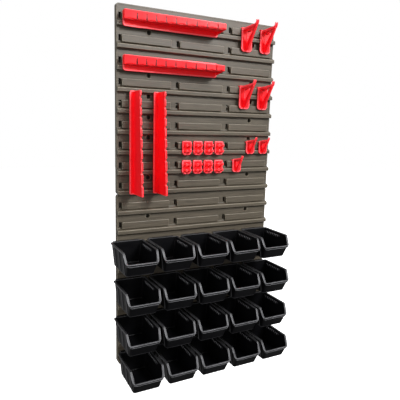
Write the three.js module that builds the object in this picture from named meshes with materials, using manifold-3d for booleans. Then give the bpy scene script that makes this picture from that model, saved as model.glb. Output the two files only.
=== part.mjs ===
// Pegboard tool wall: two railed plates, one above the other, with open bins and tool holders
// that hook over upward-open strips and lift off.
//
// Millimetres. The wall is the plane y = 0, the front faces -y, +x is to the right, +z is up.
// The origin is the middle of the upper plate's back, on the rib crossing that lies on the wall.

import * as THREE from 'three';
import { mergeVertices } from 'three/addons/utils/BufferGeometryUtils.js';
import Module from 'manifold-3d';

const wasm = await Module();
wasm.setup();

// ---------------------------------------------------------------- plates

const PLATE_WIDTH = 390;
const ROW_PITCH = 390 / 9; // height of one rail row
const ROWS = 9; // rail rows on each plate
const SEAM_GAP = 0.4; // between the upper and the lower plate

const BAND_DEPTH = 12; // wall to the recessed band
const SKIN = 2.6; // moulded wall
const RIB = 3; // back ribs and edge walls
const LIP_HEIGHT = 11.3; // projecting foot of each row
const LIP_DEPTH = 20; // wall to the front of the lip
const LIP_CHAMFER = 3.5; // slope from the lip's front up to the band
const LIP_NOSE = 1; // small bevel under the lip's front
const EDGE_RADIUS = 5; // outer corners of a plate

const STRIPS = 3; // strips side by side in each row
const STRIP_HEIGHT = 15;
const STRIP_THICKNESS = 3;
const STRIP_FOOT = 3; // joins a strip's bottom to the band
const STRIP_GAP = 20; // between neighbouring strips
const EDGE_MARGIN = 10.5; // plate edge to the first strip
const SLOT = 3; // upward-open slot behind a strip

const WINDOW_WIDTH = 6; // dark opening beside each strip's left end
const WINDOW_HEIGHT = 12;
const SCREW_RADIUS = 5;
const SCREW_STRIPS = [0, 2]; // strips with a screw column above them
const SCREW_ALONG = 60; // strip's left end to the screw column
const SCREW_DROP = 7.5; // row top to the screw hole's centre
const SCREW_ROWS = [1, 3, 4, 5, 6, 8]; // counted from 0 at the plate's top

// ---------------------------------------------------------------- hooks that hold on to a strip

const CLEARANCE = 0.4; // between a hook's tongue and the slot, and above the strip
const REST_GAP = 0.4; // between a holder's back and the lips
const NECK = 2.5; // part of the hook that crosses over the strip
const BIN_TONGUE = 8; // how far a bin's tongue reaches into the slot
const HOLDER_TONGUE = 5;

// ---------------------------------------------------------------- bins

const BINS_ACROSS = 5;
const BIN_OVERHANG = 11; // how much wider than the plate one row of bins is
const BIN_GAP = 7;
const BIN_DEPTH = 104;
const BIN_HEIGHT = 52;
const BIN_WALL = 2;
const BIN_TAPER = 5.5; // each side leans in by this much at the bottom
const BIN_MOUTH_DROP = 22; // rim to the front lip
const BIN_MOUTH_SLOPE = 14; // the rim ends this far behind the lip
const BIN_FRONT_LEAN = 14; // front wall leans out by this much
const BIN_RIM = 2.4; // thickness of the rim
const BIN_RIM_OVERHANG = 2.5; // rim past the side wall
const BIN_LIP = 6; // height of the front lip
const BIN_LIP_OVERHANG = 2;
const BIN_RIB_WIDTH = 2.5;
const BIN_RIB_HEIGHT = 1.6;
const BIN_RIBS = 3; // upright ribs on each side
const BIN_RIB_FIRST = 24; // back wall to the first rib
const BIN_RIB_PITCH = 28;
const BIN_ABOVE_STRIP = 3; // rim above the strip that it hangs on
const BIN_HOOK_WIDTH = 60;
const BIN_ROWS = [2, 4, 6, 8]; // rail rows of the lower plate that carry bins
const BIN_ROW_SHIFT = [-9.5, -3.5, -3, 6]; // each row of bins slid along its rail

// ---------------------------------------------------------------- holders

const HOLDER_PLATE = 3;

const RACK_LENGTH = 219;
const RACK_HEIGHT = 32;
const RACK_CORNER = 6;
const RACK_ABOVE_STRIP = 3.5;
const RACK_ROWS = [0, 2];
const RACK_SHELF_DROP = 18; // plate top to the shelf's upper face
const RACK_SHELF = 2.5;
const RACK_DEPTH_NEAR = 12; // shelf depth at the narrow, left end
const RACK_DEPTH_FAR = 36; // shelf depth at the wide, right end
const RACK_APRON = 2.5;
const RACK_APRON_DROP_NEAR = 1.5; // plate top to the apron's top, left end
const RACK_APRON_DROP_FAR = 8;
const RACK_SLOTS = 9;
const RACK_SLOT_WIDTH = 2.4;
const RACK_SLOT_HEIGHT = 11;
const RACK_SLOT_FIRST = 25.5; // left end to the first slot
const RACK_SLOT_PITCH = 19.4;
const RACK_SLOT_GROWTH = 0.68; // each pitch is longer than the last
const RACK_HOOK_WIDTH = 150;

const COMB_WIDTH = 22;
const COMB_LENGTH = 219;
const COMB_ABOVE_STRIP = 19.7;
const COMB_ROW = 4;
const COMB_SHARES = [0.232, 0.722]; // places along the first strip
const COMB_WEB = 3;
const COMB_BEAD = 4; // thicker front edge
const COMB_BEAD_DEPTH = 5;
const COMB_DEPTH_TOP = 36; // plate front to the teeth, at the top
const COMB_DEPTH_BOTTOM = 52;
const COMB_CORNER = 4;
const COMB_NOTCHES = 9;
const COMB_NOTCH_DEPTH = 4.5;
const COMB_NOTCH_FIRST = 13; // top to the first notch
const COMB_NOTCH_PITCH = 19;
const COMB_NOTCH_GROWTH = 0.95;
const COMB_NOTCH_WIDTH = 6;
const COMB_NOTCH_ROOT = 4; // height of a notch at its inner end
const COMB_NOTCH_SLANT = 4; // how much lower the inner end is than the mouth

const FORK_COUNT = 4;
const FORK_FIRST = 0.174; // share of the second strip where the first one hangs
const FORK_STEP = 0.253;
const FORK_GAP = 5; // between neighbouring fork clips
const FORK_ROW_GAP = 12; // between a clip and the one below it
const FORK_ROWS = [6, 7];
const FORK_ABOVE_STRIP = 3;
const FORK_CORNER = 8;
const FORK_TOP_CORNER = 2.5;
const FORK_HOOK_WIDTH = 14;
const FORK_REACH = 12; // plate front to the tips
const FORK_WIDTH = 14; // across the two tines
const FORK_SLOT = 6; // between the tines
const FORK_SLOT_ROOT = 3.5; // solid part next to the plate
const FORK_DROPS = [8.5, 21.5]; // plate top to each fork's upper face
const FORK_THICKNESS = [3.2, 3.2];
const FORK_BRACES = [6, 3]; // how far each fork's root reaches down
const FORK_TIP = 2.8; // upturned tips

const LARGE_HOOK = { width: 29, height: 52, reach: 41, rise: 13, bar: 5, strut: 5.6, tip: 7 };
const SMALL_HOOK = { width: 24, height: 32, reach: 24, rise: 9, bar: 4, strut: 3.2, tip: 4.5 };
const HOOK_WEB = 4;
const HOOK_ARM_INSET = 2; // plate's edge to the arm's root
const HOOK_TOP_CORNER = 2;
const HOOK_FOOT_CORNER = 0.3; // share of the plate's width
const HOOK_CURL = 0.6; // share of the rise that the upturned tip takes
const HOOK_ABOVE_STRIP = { large: 1, small: 5 };
const HOOK_PLACES = [
  { size: 'large', row: 0, shares: [0.34, 0.81] },
  { size: 'large', row: 3, shares: [0.34, 0.81] },
  { size: 'small', row: 6, shares: [0.547, 0.885] },
  { size: 'small', row: 7, shares: [0.213] },
];

const ARC_STEPS = 4; // straight pieces in a quarter of a rounded corner
const WELD = 1e-5; // corners closer than this are one corner
const OVERCUT = 1; // how far a cutting solid runs past the face that it opens

// ---------------------------------------------------------------- worked-out sizes

const PLATE_HEIGHT = ROWS * ROW_PITCH;
const UPPER_TOP = PLATE_HEIGHT / 2;
const LOWER_TOP = UPPER_TOP - PLATE_HEIGHT - SEAM_GAP;
const STRIP_DROP = ROW_PITCH - LIP_HEIGHT - STRIP_HEIGHT; // row top to strip top
const STRIP_LENGTH = (PLATE_WIDTH - 2 * EDGE_MARGIN - (STRIPS - 1) * STRIP_GAP) / STRIPS;
const STRIP_BACK = BAND_DEPTH + SLOT;
const STRIP_FRONT = STRIP_BACK + STRIP_THICKNESS;
const HOLDER_BACK = LIP_DEPTH + REST_GAP;
const BIN_PITCH = (PLATE_WIDTH + BIN_OVERHANG + 2 * BIN_GAP) / BINS_ACROSS;
const BIN_WIDTH = BIN_PITCH - BIN_GAP;

const stripStart = (index) => -PLATE_WIDTH / 2 + EDGE_MARGIN + index * (STRIP_LENGTH + STRIP_GAP);
const onStrip = (index, share) => stripStart(index) + share * STRIP_LENGTH;
const stripTop = (plateTop, row) => plateTop - row * ROW_PITCH - STRIP_DROP;

// ---------------------------------------------------------------- materials

const finish = (color, roughness) =>
  new THREE.MeshStandardMaterial({ color, roughness, metalness: 0 });
const platePlastic = finish(0x6f6a64, 0.55);
const binPlastic = finish(0x232427, 0.42);
const holderPlastic = finish(0xe8142c, 0.38);

// ---------------------------------------------------------------- solids

function toSolid(geometry) {
  geometry.deleteAttribute('normal');
  geometry.deleteAttribute('uv');
  const merged = mergeVertices(geometry, WELD);
  return new wasm.Manifold(
    new wasm.Mesh({
      numProp: 3,
      vertProperties: new Float32Array(merged.attributes.position.array),
      triVerts: new Uint32Array(merged.index.array),
    }),
  );
}

function toMesh(name, solid, material) {
  const mesh = solid.getMesh();
  const geometry = new THREE.BufferGeometry();
  geometry.setAttribute('position', new THREE.BufferAttribute(mesh.vertProperties, 3));
  geometry.setIndex(new THREE.BufferAttribute(mesh.triVerts, 1));
  geometry.computeVertexNormals();
  const result = new THREE.Mesh(geometry, material);
  result.name = name;
  return result;
}

// An outline of [u, v] points, or a THREE.Shape, carried straight along one axis.
function prism(outline, length) {
  const shape = Array.isArray(outline)
    ? new THREE.Shape(outline.map(([u, v]) => new THREE.Vector2(u, v)))
    : outline;
  return new THREE.ExtrudeGeometry(shape, {
    depth: length,
    bevelEnabled: false,
    curveSegments: ARC_STEPS,
  });
}

const axes = (x, y, z) => new THREE.Matrix4().makeBasis(x, y, z);
const X = new THREE.Vector3(1, 0, 0);
const Y = new THREE.Vector3(0, 1, 0);
const Z = new THREE.Vector3(0, 0, 1);

// The outline is [y, z], and the prism runs from x0 to x1.
function alongX(outline, x0, x1) {
  const geometry = prism(outline, x1 - x0).applyMatrix4(axes(Y, Z, X));
  return toSolid(geometry.translate(x0, 0, 0));
}

// The outline is [x, z], and the prism runs from y0 up to y1.
function alongY(outline, y0, y1) {
  const geometry = prism(outline, y1 - y0).applyMatrix4(axes(X, Z, Y.clone().negate()));
  return toSolid(geometry.translate(0, y1, 0));
}

// The outline is [x, y], and the prism runs from z0 to z1.
function alongZ(outline, z0, z1) {
  return toSolid(prism(outline, z1 - z0).translate(0, 0, z0));
}

function block([x0, y0, z0], [x1, y1, z1]) {
  const geometry = new THREE.BoxGeometry(x1 - x0, y1 - y0, z1 - z0);
  return toSolid(geometry.translate((x0 + x1) / 2, (y0 + y1) / 2, (z0 + z1) / 2));
}

const join = (solids) => solids.reduce((sum, solid) => sum.add(solid));
const cut = (solid, tools) => tools.reduce((rest, tool) => rest.subtract(tool), solid);

// A triangle with each side moved in by a distance: it shrinks towards its incentre.
function insetTriangle(corners, distance) {
  const [a, b, c] = corners.map(([u, v]) => new THREE.Vector2(u, v));
  const sides = [b.distanceTo(c), c.distanceTo(a), a.distanceTo(b)];
  const around = sides[0] + sides[1] + sides[2];
  const centre = new THREE.Vector2();
  [a, b, c].forEach((corner, index) => centre.addScaledVector(corner, sides[index] / around));
  const radius = Math.abs(b.clone().sub(a).cross(c.clone().sub(a))) / around;
  return [a, b, c].map((corner) => corner.lerp(centre, distance / radius).toArray());
}

// A rectangle from (u0, v0) to (u1, v1) whose lower and upper corners have their own radii.
function roundedOutline(u0, v0, u1, v1, lower, upper) {
  const shape = new THREE.Shape();
  shape.moveTo(u0 + lower, v0);
  shape.lineTo(u1 - lower, v0);
  shape.absarc(u1 - lower, v0 + lower, lower, -Math.PI / 2, 0, false);
  shape.lineTo(u1, v1 - upper);
  shape.absarc(u1 - upper, v1 - upper, upper, 0, Math.PI / 2, false);
  shape.lineTo(u0 + upper, v1);
  shape.absarc(u0 + upper, v1 - upper, upper, Math.PI / 2, Math.PI, false);
  shape.lineTo(u0, v0 + lower);
  shape.absarc(u0 + lower, v0 + lower, lower, Math.PI, 1.5 * Math.PI, false);
  return shape;
}

// ---------------------------------------------------------------- plate

// Front line of one row from its top down: band, slope, lip and the bevel under the lip.
function rowFront(top) {
  const foot = top - ROW_PITCH;
  return [
    [-BAND_DEPTH, top],
    [-BAND_DEPTH, foot + LIP_HEIGHT],
    [-LIP_DEPTH, foot + LIP_HEIGHT - LIP_CHAMFER],
    [-LIP_DEPTH, foot + LIP_NOSE],
    [-LIP_DEPTH + LIP_NOSE, foot],
  ];
}

// Back line of the same row, a skin thickness behind the front line, from its foot up.
function rowBack(top) {
  const foot = top - ROW_PITCH;
  const back = -BAND_DEPTH + SKIN;
  return [
    [back, foot + SKIN],
    [-LIP_DEPTH + SKIN, foot + SKIN],
    [-LIP_DEPTH + SKIN, foot + LIP_HEIGHT - LIP_CHAMFER - SKIN / 2],
    [back, foot + LIP_HEIGHT - SKIN / 2],
  ];
}

function plateSkin(top) {
  const rows = Array.from({ length: ROWS }, (_, row) => top - row * ROW_PITCH);
  const foot = top - PLATE_HEIGHT;
  const front = rows.flatMap(rowFront);
  const back = [...rows].reverse().flatMap(rowBack);
  const skin = alongX(
    [...front, [-BAND_DEPTH + SKIN, foot], ...back, [-BAND_DEPTH + SKIN, top]],
    -PLATE_WIDTH / 2,
    PLATE_WIDTH / 2,
  );
  const side = [...front, [0, foot], [0, top]];
  const half = PLATE_WIDTH / 2;
  return join([skin, alongX(side, -half, -half + RIB), alongX(side, half - RIB, half)]);
}

function plateRibs(top) {
  const half = PLATE_WIDTH / 2;
  const front = -BAND_DEPTH + SKIN / 2;
  const foot = top - PLATE_HEIGHT;
  const middle = top - PLATE_HEIGHT / 2;
  const across = (z0) => block([-half, front, z0], [half, 0, z0 + RIB]);
  const upright = (x) => block([x - RIB / 2, front, foot], [x + RIB / 2, 0, top]);
  const gap = (STRIP_LENGTH + STRIP_GAP) / 2;
  return join([
    across(foot),
    across(middle - RIB / 2),
    across(top - RIB),
    upright(-gap),
    upright(0),
    upright(gap),
  ]);
}

function stripSolids(top, row) {
  const head = stripTop(top, row);
  const foot = head - STRIP_HEIGHT;
  const outline = [
    [-STRIP_FRONT, head],
    [-STRIP_FRONT, foot],
    [-BAND_DEPTH + SKIN / 2, foot],
    [-BAND_DEPTH + SKIN / 2, foot + STRIP_FOOT],
    [-STRIP_BACK, foot + STRIP_FOOT],
    [-STRIP_BACK, head],
  ];
  return Array.from({ length: STRIPS }, (_, index) =>
    alongX(outline, stripStart(index), stripStart(index) + STRIP_LENGTH),
  );
}

function stripWindows(top, row) {
  const head = stripTop(top, row);
  return Array.from({ length: STRIPS }, (_, index) => {
    const right = stripStart(index);
    return block(
      [right - WINDOW_WIDTH, -LIP_DEPTH, head - WINDOW_HEIGHT],
      [right, -SKIN, head],
    );
  });
}

function screwHoles(top, row) {
  const z = top - row * ROW_PITCH - SCREW_DROP;
  return SCREW_STRIPS.map((index) => {
    const x = stripStart(index) + SCREW_ALONG;
    const circle = new THREE.Shape().absarc(x, z, SCREW_RADIUS, 0, 2 * Math.PI, false);
    return alongY(circle, -LIP_DEPTH, -SKIN);
  });
}

function makePlate(name, top) {
  const rows = Array.from({ length: ROWS }, (_, row) => row);
  const body = join([
    plateSkin(top),
    plateRibs(top),
    ...rows.flatMap((row) => stripSolids(top, row)),
  ]);
  const holes = [
    ...rows.flatMap((row) => stripWindows(top, row)),
    ...SCREW_ROWS.flatMap((row) => screwHoles(top, row)),
  ];
  const half = PLATE_WIDTH / 2;
  const outline = roundedOutline(-half, top - PLATE_HEIGHT, half, top, EDGE_RADIUS, EDGE_RADIUS);
  const rounded = alongY(outline, -LIP_DEPTH - RIB, RIB);
  return toMesh(name, cut(body, holes).intersect(rounded), platePlastic);
}

// ---------------------------------------------------------------- hanging hook

// In a holder's own frame y = 0 is its back and z = 0 its top. The strip's top is at z = -above.
function stripHook(x0, x1, above, tongue) {
  const neck = -above + CLEARANCE;
  const back = HOLDER_BACK - BAND_DEPTH - CLEARANCE;
  const front = HOLDER_BACK - STRIP_BACK + CLEARANCE;
  const outline = [
    [-HOLDER_PLATE / 2, neck],
    [front, neck],
    [front, neck - tongue],
    [back, neck - tongue],
    [back, neck + NECK],
    [-HOLDER_PLATE / 2, neck + NECK],
  ];
  return alongX(outline, x0, x1);
}

function hang(mesh, x, plateTop, row, above) {
  mesh.position.set(x, -HOLDER_BACK, stripTop(plateTop, row) + above);
  return mesh;
}

// ---------------------------------------------------------------- bin

// Half the body's width at a height, for a wall that leans in towards the bottom.
const binHalf = (z, offset) => BIN_WIDTH / 2 - BIN_RIM_OVERHANG + offset + (z * BIN_TAPER) / BIN_HEIGHT;

function binTaper(offset, z0, z1, y0, y1) {
  const low = binHalf(z0, offset);
  const high = binHalf(z1, offset);
  return alongY([[-low, z0], [low, z0], [high, z1], [-high, z1]], y0, y1);
}

function binBody() {
  const mouth = BIN_DEPTH - BIN_LIP_OVERHANG;
  const outer = [
    [0, 0],
    [0, -BIN_HEIGHT],
    [-mouth + BIN_FRONT_LEAN, -BIN_HEIGHT],
    [-mouth, -BIN_MOUTH_DROP],
    [-mouth + BIN_MOUTH_SLOPE, 0],
  ];
  const wide = BIN_WIDTH / 2;
  return alongX(outer, -wide, wide).intersect(binTaper(0, -BIN_HEIGHT, 0, -BIN_DEPTH, 0));
}

function binRim() {
  const mouth = BIN_DEPTH - BIN_LIP_OVERHANG;
  const wide = BIN_WIDTH / 2;
  const rail = [
    [0, 0],
    [0, -BIN_RIM],
    [-mouth + BIN_MOUTH_SLOPE + BIN_RIM, -BIN_RIM],
    [-mouth + BIN_RIM, -BIN_MOUTH_DROP],
    [-BIN_DEPTH, -BIN_MOUTH_DROP],
    [-mouth + BIN_MOUTH_SLOPE - BIN_RIM / 2, 0],
  ];
  const foot = -BIN_MOUTH_DROP - BIN_LIP;
  const lip = [
    [-mouth + BIN_RIM, -BIN_MOUTH_DROP],
    [-mouth + BIN_FRONT_LEAN / 2, foot],
    [-BIN_DEPTH, foot],
    [-BIN_DEPTH, -BIN_MOUTH_DROP],
  ];
  const band = join([alongX(rail, -wide, wide), alongX(lip, -wide, wide)]);
  return band.intersect(binTaper(BIN_RIM_OVERHANG, foot, 0, -BIN_DEPTH, 0));
}

function binRibs() {
  return Array.from({ length: BIN_RIBS }, (_, index) => {
    const y = -BIN_RIB_FIRST - index * BIN_RIB_PITCH;
    return binTaper(BIN_RIB_HEIGHT, -BIN_HEIGHT, -BIN_RIM / 2, y - BIN_RIB_WIDTH, y);
  });
}

function binHollow() {
  const mouth = BIN_DEPTH - BIN_LIP_OVERHANG - BIN_WALL;
  const over = BIN_WALL;
  const floor = -BIN_HEIGHT + BIN_WALL;
  const lean = ((BIN_HEIGHT - BIN_WALL - BIN_MOUTH_DROP) * BIN_FRONT_LEAN) / (BIN_HEIGHT - BIN_MOUTH_DROP);
  const inner = [
    [-BIN_WALL, over],
    [-BIN_WALL, floor],
    [-mouth + lean, floor],
    [-mouth, -BIN_MOUTH_DROP],
    [-mouth, over],
  ];
  const wide = BIN_WIDTH / 2;
  return alongX(inner, -wide, wide).intersect(
    binTaper(-BIN_WALL, -BIN_HEIGHT, over, -BIN_DEPTH, 0),
  );
}

function binSolid() {
  const shell = cut(join([binBody(), binRim(), ...binRibs()]), [binHollow()]);
  const half = BIN_HOOK_WIDTH / 2;
  const hook = stripHook(-half, half, BIN_ABOVE_STRIP, BIN_TONGUE);
  return shell.add(hook.subtract(binHollow()));
}

function makeBins() {
  const solid = binSolid();
  return BIN_ROWS.flatMap((row, line) =>
    Array.from({ length: BINS_ACROSS }, (_, column) => {
      const bin = toMesh(`bin_${line + 1}_${column + 1}`, solid, binPlastic);
      const x = (column - (BINS_ACROSS - 1) / 2) * BIN_PITCH + BIN_ROW_SHIFT[line];
      return hang(bin, x, LOWER_TOP, row, BIN_ABOVE_STRIP);
    }),
  );
}

// ---------------------------------------------------------------- horizontal tool rack

const RACK_SLOPE = (RACK_DEPTH_FAR - RACK_DEPTH_NEAR) / RACK_LENGTH;
const rackFront = (x) => -HOLDER_PLATE - RACK_DEPTH_NEAR - RACK_SLOPE * x;

function rackApron() {
  const outline = [
    [0, -HOLDER_PLATE / 2],
    [0, rackFront(0)],
    [RACK_LENGTH, rackFront(RACK_LENGTH)],
    [RACK_LENGTH, -HOLDER_PLATE / 2],
  ];
  const shelfTop = -RACK_SHELF_DROP;
  const wedge = alongZ(outline, shelfTop - RACK_SHELF, -RACK_APRON_DROP_NEAR);
  const well = alongZ(
    [
      [RACK_APRON, -HOLDER_PLATE / 2],
      [RACK_APRON, rackFront(RACK_APRON) + RACK_APRON],
      [RACK_LENGTH - RACK_APRON, rackFront(RACK_LENGTH - RACK_APRON) + RACK_APRON],
      [RACK_LENGTH - RACK_APRON, -HOLDER_PLATE / 2],
    ],
    shelfTop,
    OVERCUT,
  );
  const slant = alongY(
    [
      [-OVERCUT, -RACK_APRON_DROP_NEAR],
      [RACK_LENGTH + OVERCUT, -RACK_APRON_DROP_FAR],
      [RACK_LENGTH + OVERCUT, OVERCUT],
      [-OVERCUT, OVERCUT],
    ],
    rackFront(RACK_LENGTH) - OVERCUT,
    -HOLDER_PLATE,
  );
  return cut(wedge, [well, slant]);
}

// Slots in the apron's foot: each pitch is a little longer than the last.
function rackSlots() {
  const foot = -RACK_SHELF_DROP - RACK_SHELF;
  return Array.from({ length: RACK_SLOTS }, (_, index) => {
    const x = RACK_SLOT_FIRST + index * RACK_SLOT_PITCH + (RACK_SLOT_GROWTH * index * (index - 1)) / 2;
    const front = rackFront(x);
    return block(
      [x - RACK_SLOT_WIDTH / 2, front - OVERCUT, foot - OVERCUT],
      [x + RACK_SLOT_WIDTH / 2, front + RACK_APRON + OVERCUT, foot + RACK_SLOT_HEIGHT],
    );
  });
}

function rackSolid() {
  const plate = alongY(
    roundedOutline(0, -RACK_HEIGHT, RACK_LENGTH, 0, RACK_CORNER, RACK_CORNER / 2),
    -HOLDER_PLATE,
    0,
  );
  const start = (RACK_LENGTH - RACK_HOOK_WIDTH) / 2;
  const hook = stripHook(start, start + RACK_HOOK_WIDTH, RACK_ABOVE_STRIP, HOLDER_TONGUE);
  return cut(join([plate, rackApron(), hook]), rackSlots());
}

function makeRacks() {
  const solid = rackSolid();
  return RACK_ROWS.map((row, index) => {
    const rack = toMesh(`long_rack_${index + 1}`, solid, holderPlastic);
    return hang(rack, stripStart(0), UPPER_TOP, row, RACK_ABOVE_STRIP);
  });
}

// ---------------------------------------------------------------- upright notched comb

const combDepth = (drop) =>
  HOLDER_PLATE + COMB_DEPTH_TOP + ((COMB_DEPTH_BOTTOM - COMB_DEPTH_TOP) * drop) / COMB_LENGTH;

const combBlade = (back) => [
  [back, 0],
  [-combDepth(0), 0],
  [-combDepth(COMB_LENGTH), -COMB_LENGTH],
  [back, -COMB_LENGTH],
];

const combFrontBead = () => [
  [-combDepth(0) + COMB_BEAD_DEPTH, 0],
  [-combDepth(0), 0],
  [-combDepth(COMB_LENGTH), -COMB_LENGTH],
  [-combDepth(COMB_LENGTH) + COMB_BEAD_DEPTH, -COMB_LENGTH],
];

// Each notch is a cut that slants down from its mouth towards the plate.
function combNotch(index) {
  const drop =
    COMB_NOTCH_FIRST + index * COMB_NOTCH_PITCH + (COMB_NOTCH_GROWTH * index * (index - 1)) / 2;
  const front = -combDepth(drop);
  const head = -drop + COMB_NOTCH_WIDTH / 2;
  const outline = [
    [front - OVERCUT, head],
    [front + COMB_NOTCH_DEPTH, head - COMB_NOTCH_SLANT],
    [front + COMB_NOTCH_DEPTH, head - COMB_NOTCH_SLANT - COMB_NOTCH_ROOT],
    [front - OVERCUT, head - COMB_NOTCH_WIDTH],
  ];
  return alongX(outline, -COMB_WIDTH, COMB_WIDTH);
}

function combSolid() {
  const half = COMB_WIDTH / 2;
  const plate = alongY(
    roundedOutline(-half, -COMB_LENGTH, half, 0, COMB_CORNER, COMB_CORNER),
    -HOLDER_PLATE,
    0,
  );
  const web = alongX(combBlade(-HOLDER_PLATE / 2), -COMB_WEB / 2, COMB_WEB / 2);
  const bead = alongX(combFrontBead(), -COMB_BEAD / 2, COMB_BEAD / 2);
  const hook = stripHook(-half + COMB_CORNER, half - COMB_CORNER, COMB_ABOVE_STRIP, HOLDER_TONGUE);
  const notches = Array.from({ length: COMB_NOTCHES }, (_, index) => combNotch(index));
  return cut(join([plate, web, bead, hook]), notches);
}

function makeCombs() {
  const solid = combSolid();
  return COMB_SHARES.map((share, index) => {
    const comb = toMesh(`wrench_comb_${index + 1}`, solid, holderPlastic);
    return hang(comb, onStrip(0, share), UPPER_TOP, COMB_ROW, COMB_ABOVE_STRIP);
  });
}

// ---------------------------------------------------------------- double fork clip

function forkTines(index) {
  const top = -FORK_DROPS[index];
  const low = top - FORK_THICKNESS[index];
  const tip = -HOLDER_PLATE - FORK_REACH;
  const side = [
    [-HOLDER_PLATE / 2, top],
    [-HOLDER_PLATE / 2, low - FORK_BRACES[index]],
    [tip + FORK_TIP, low],
    [tip, low + FORK_THICKNESS[index] / 2],
    [tip, top + FORK_TIP],
    [tip + FORK_TIP / 2, top + FORK_TIP],
    [tip + FORK_TIP, top],
  ];
  return alongX(side, -FORK_WIDTH / 2, FORK_WIDTH / 2);
}

function forkSolid() {
  const half = (FORK_STEP * STRIP_LENGTH - FORK_GAP) / 2;
  const height = ROW_PITCH - FORK_ROW_GAP;
  const outline = roundedOutline(-half, -height, half, 0, FORK_CORNER, FORK_TOP_CORNER);
  const plate = alongY(outline, -HOLDER_PLATE, 0);
  const hook = stripHook(-FORK_HOOK_WIDTH / 2, FORK_HOOK_WIDTH / 2, FORK_ABOVE_STRIP, HOLDER_TONGUE);
  const slot = block(
    [-FORK_SLOT / 2, -HOLDER_PLATE - FORK_REACH - OVERCUT, -height],
    [FORK_SLOT / 2, -HOLDER_PLATE - FORK_SLOT_ROOT, 0],
  );
  return join([plate, hook, ...FORK_DROPS.map((_, index) => forkTines(index).subtract(slot))]);
}

function makeForks() {
  const solid = forkSolid();
  return FORK_ROWS.flatMap((row, line) =>
    Array.from({ length: FORK_COUNT }, (_, index) => {
      const fork = toMesh(`fork_clip_${line + 1}_${index + 1}`, solid, holderPlastic);
      return hang(fork, onStrip(1, FORK_FIRST + index * FORK_STEP), UPPER_TOP, row, FORK_ABOVE_STRIP);
    }),
  );
}

// ---------------------------------------------------------------- triangular hook

// Side line of the arm's top: up from the plate, then steeply up to the tip.
const hookArm = ({ reach, rise, bar }) => ({
  nose: -HOLDER_PLATE - reach,
  bend: -HOLDER_PLATE - reach + bar,
  shoulder: rise * (1 - HOOK_CURL),
});

// Side outline of the arm, with its thickness below the line and the curled tip at its end.
function hookArmOutline(size) {
  const { nose, bend, shoulder } = hookArm(size);
  const root = -HOLDER_PLATE / 2;
  return [
    [root, 0],
    [root, -size.bar],
    [nose + size.bar, shoulder - size.bar],
    [nose, shoulder],
    [nose, size.rise],
    [nose + size.bar / 2, size.rise],
    [bend, shoulder],
  ];
}

// Side outline of the web under the arm, from the nose down to the foot of the plate.
function hookWeb(size) {
  const { nose, shoulder } = hookArm(size);
  const root = -HOLDER_PLATE / 2;
  const foot = -size.height + size.bar;
  return [
    [root, -size.bar / 2],
    [root, foot],
    [-HOLDER_PLATE - size.bar / 2, foot],
    [nose + size.bar, shoulder - size.bar],
    [nose + size.bar, shoulder - size.bar / 2],
  ];
}

// The open triangle in the web, a strut's width inside the arm, the brace and the plate.
function hookWindow(size) {
  const { nose, shoulder } = hookArm(size);
  const web = [
    [-HOLDER_PLATE, -size.bar],
    [-HOLDER_PLATE, -size.height + size.bar],
    [nose + size.bar, shoulder - size.bar],
  ];
  return insetTriangle(web, size.strut);
}

function hookSolid(size, above) {
  const half = size.width / 2;
  const nose = -HOLDER_PLATE - size.reach;
  const foot = HOOK_FOOT_CORNER * size.width;
  const outline = roundedOutline(-half, -size.height, half, 0, foot, HOOK_TOP_CORNER);
  const plate = alongY(outline, -HOLDER_PLATE, 0);
  const web = alongX(hookWeb(size), -HOOK_WEB / 2, HOOK_WEB / 2);
  const window = alongX(hookWindow(size), -HOOK_WEB, HOOK_WEB);
  const wide = half - HOOK_ARM_INSET;
  const taper = alongZ(
    [[-wide, 0], [-size.tip / 2, nose], [size.tip / 2, nose], [wide, 0]],
    -size.height,
    size.height,
  );
  const arm = alongX(hookArmOutline(size), -half, half).intersect(taper);
  const hook = stripHook(-wide, wide, above, HOLDER_TONGUE);
  return join([plate, web.subtract(window), arm, hook]);
}

function makeHooks() {
  const sizes = { large: LARGE_HOOK, small: SMALL_HOOK };
  const counts = { large: 0, small: 0 };
  return HOOK_PLACES.flatMap(({ size, row, shares }) => {
    const above = HOOK_ABOVE_STRIP[size];
    const solid = hookSolid(sizes[size], above);
    return shares.map((share) => {
      counts[size] += 1;
      const hook = toMesh(`${size}_hook_${counts[size]}`, solid, holderPlastic);
      return hang(hook, onStrip(2, share), UPPER_TOP, row, above);
    });
  });
}

// ---------------------------------------------------------------- assembly

const group = new THREE.Group();
group.add(makePlate('upper_plate', UPPER_TOP));
group.add(makePlate('lower_plate', LOWER_TOP));
group.add(...makeBins(), ...makeRacks(), ...makeCombs(), ...makeForks(), ...makeHooks());

export default group;
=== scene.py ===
"""Pegboard tool wall: two moulded rail plates with bins and holders that hook on and lift off.

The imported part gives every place. Each shape below is worked out in its own piece's frame, in
millimetres, with x to the right, y towards the wall and z up, and is then moved to its place.
"""

import math
from collections import namedtuple

import bpy
import numpy as np
from bpy.props import FloatProperty, FloatVectorProperty, PointerProperty
from mathutils import Matrix, Vector


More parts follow.
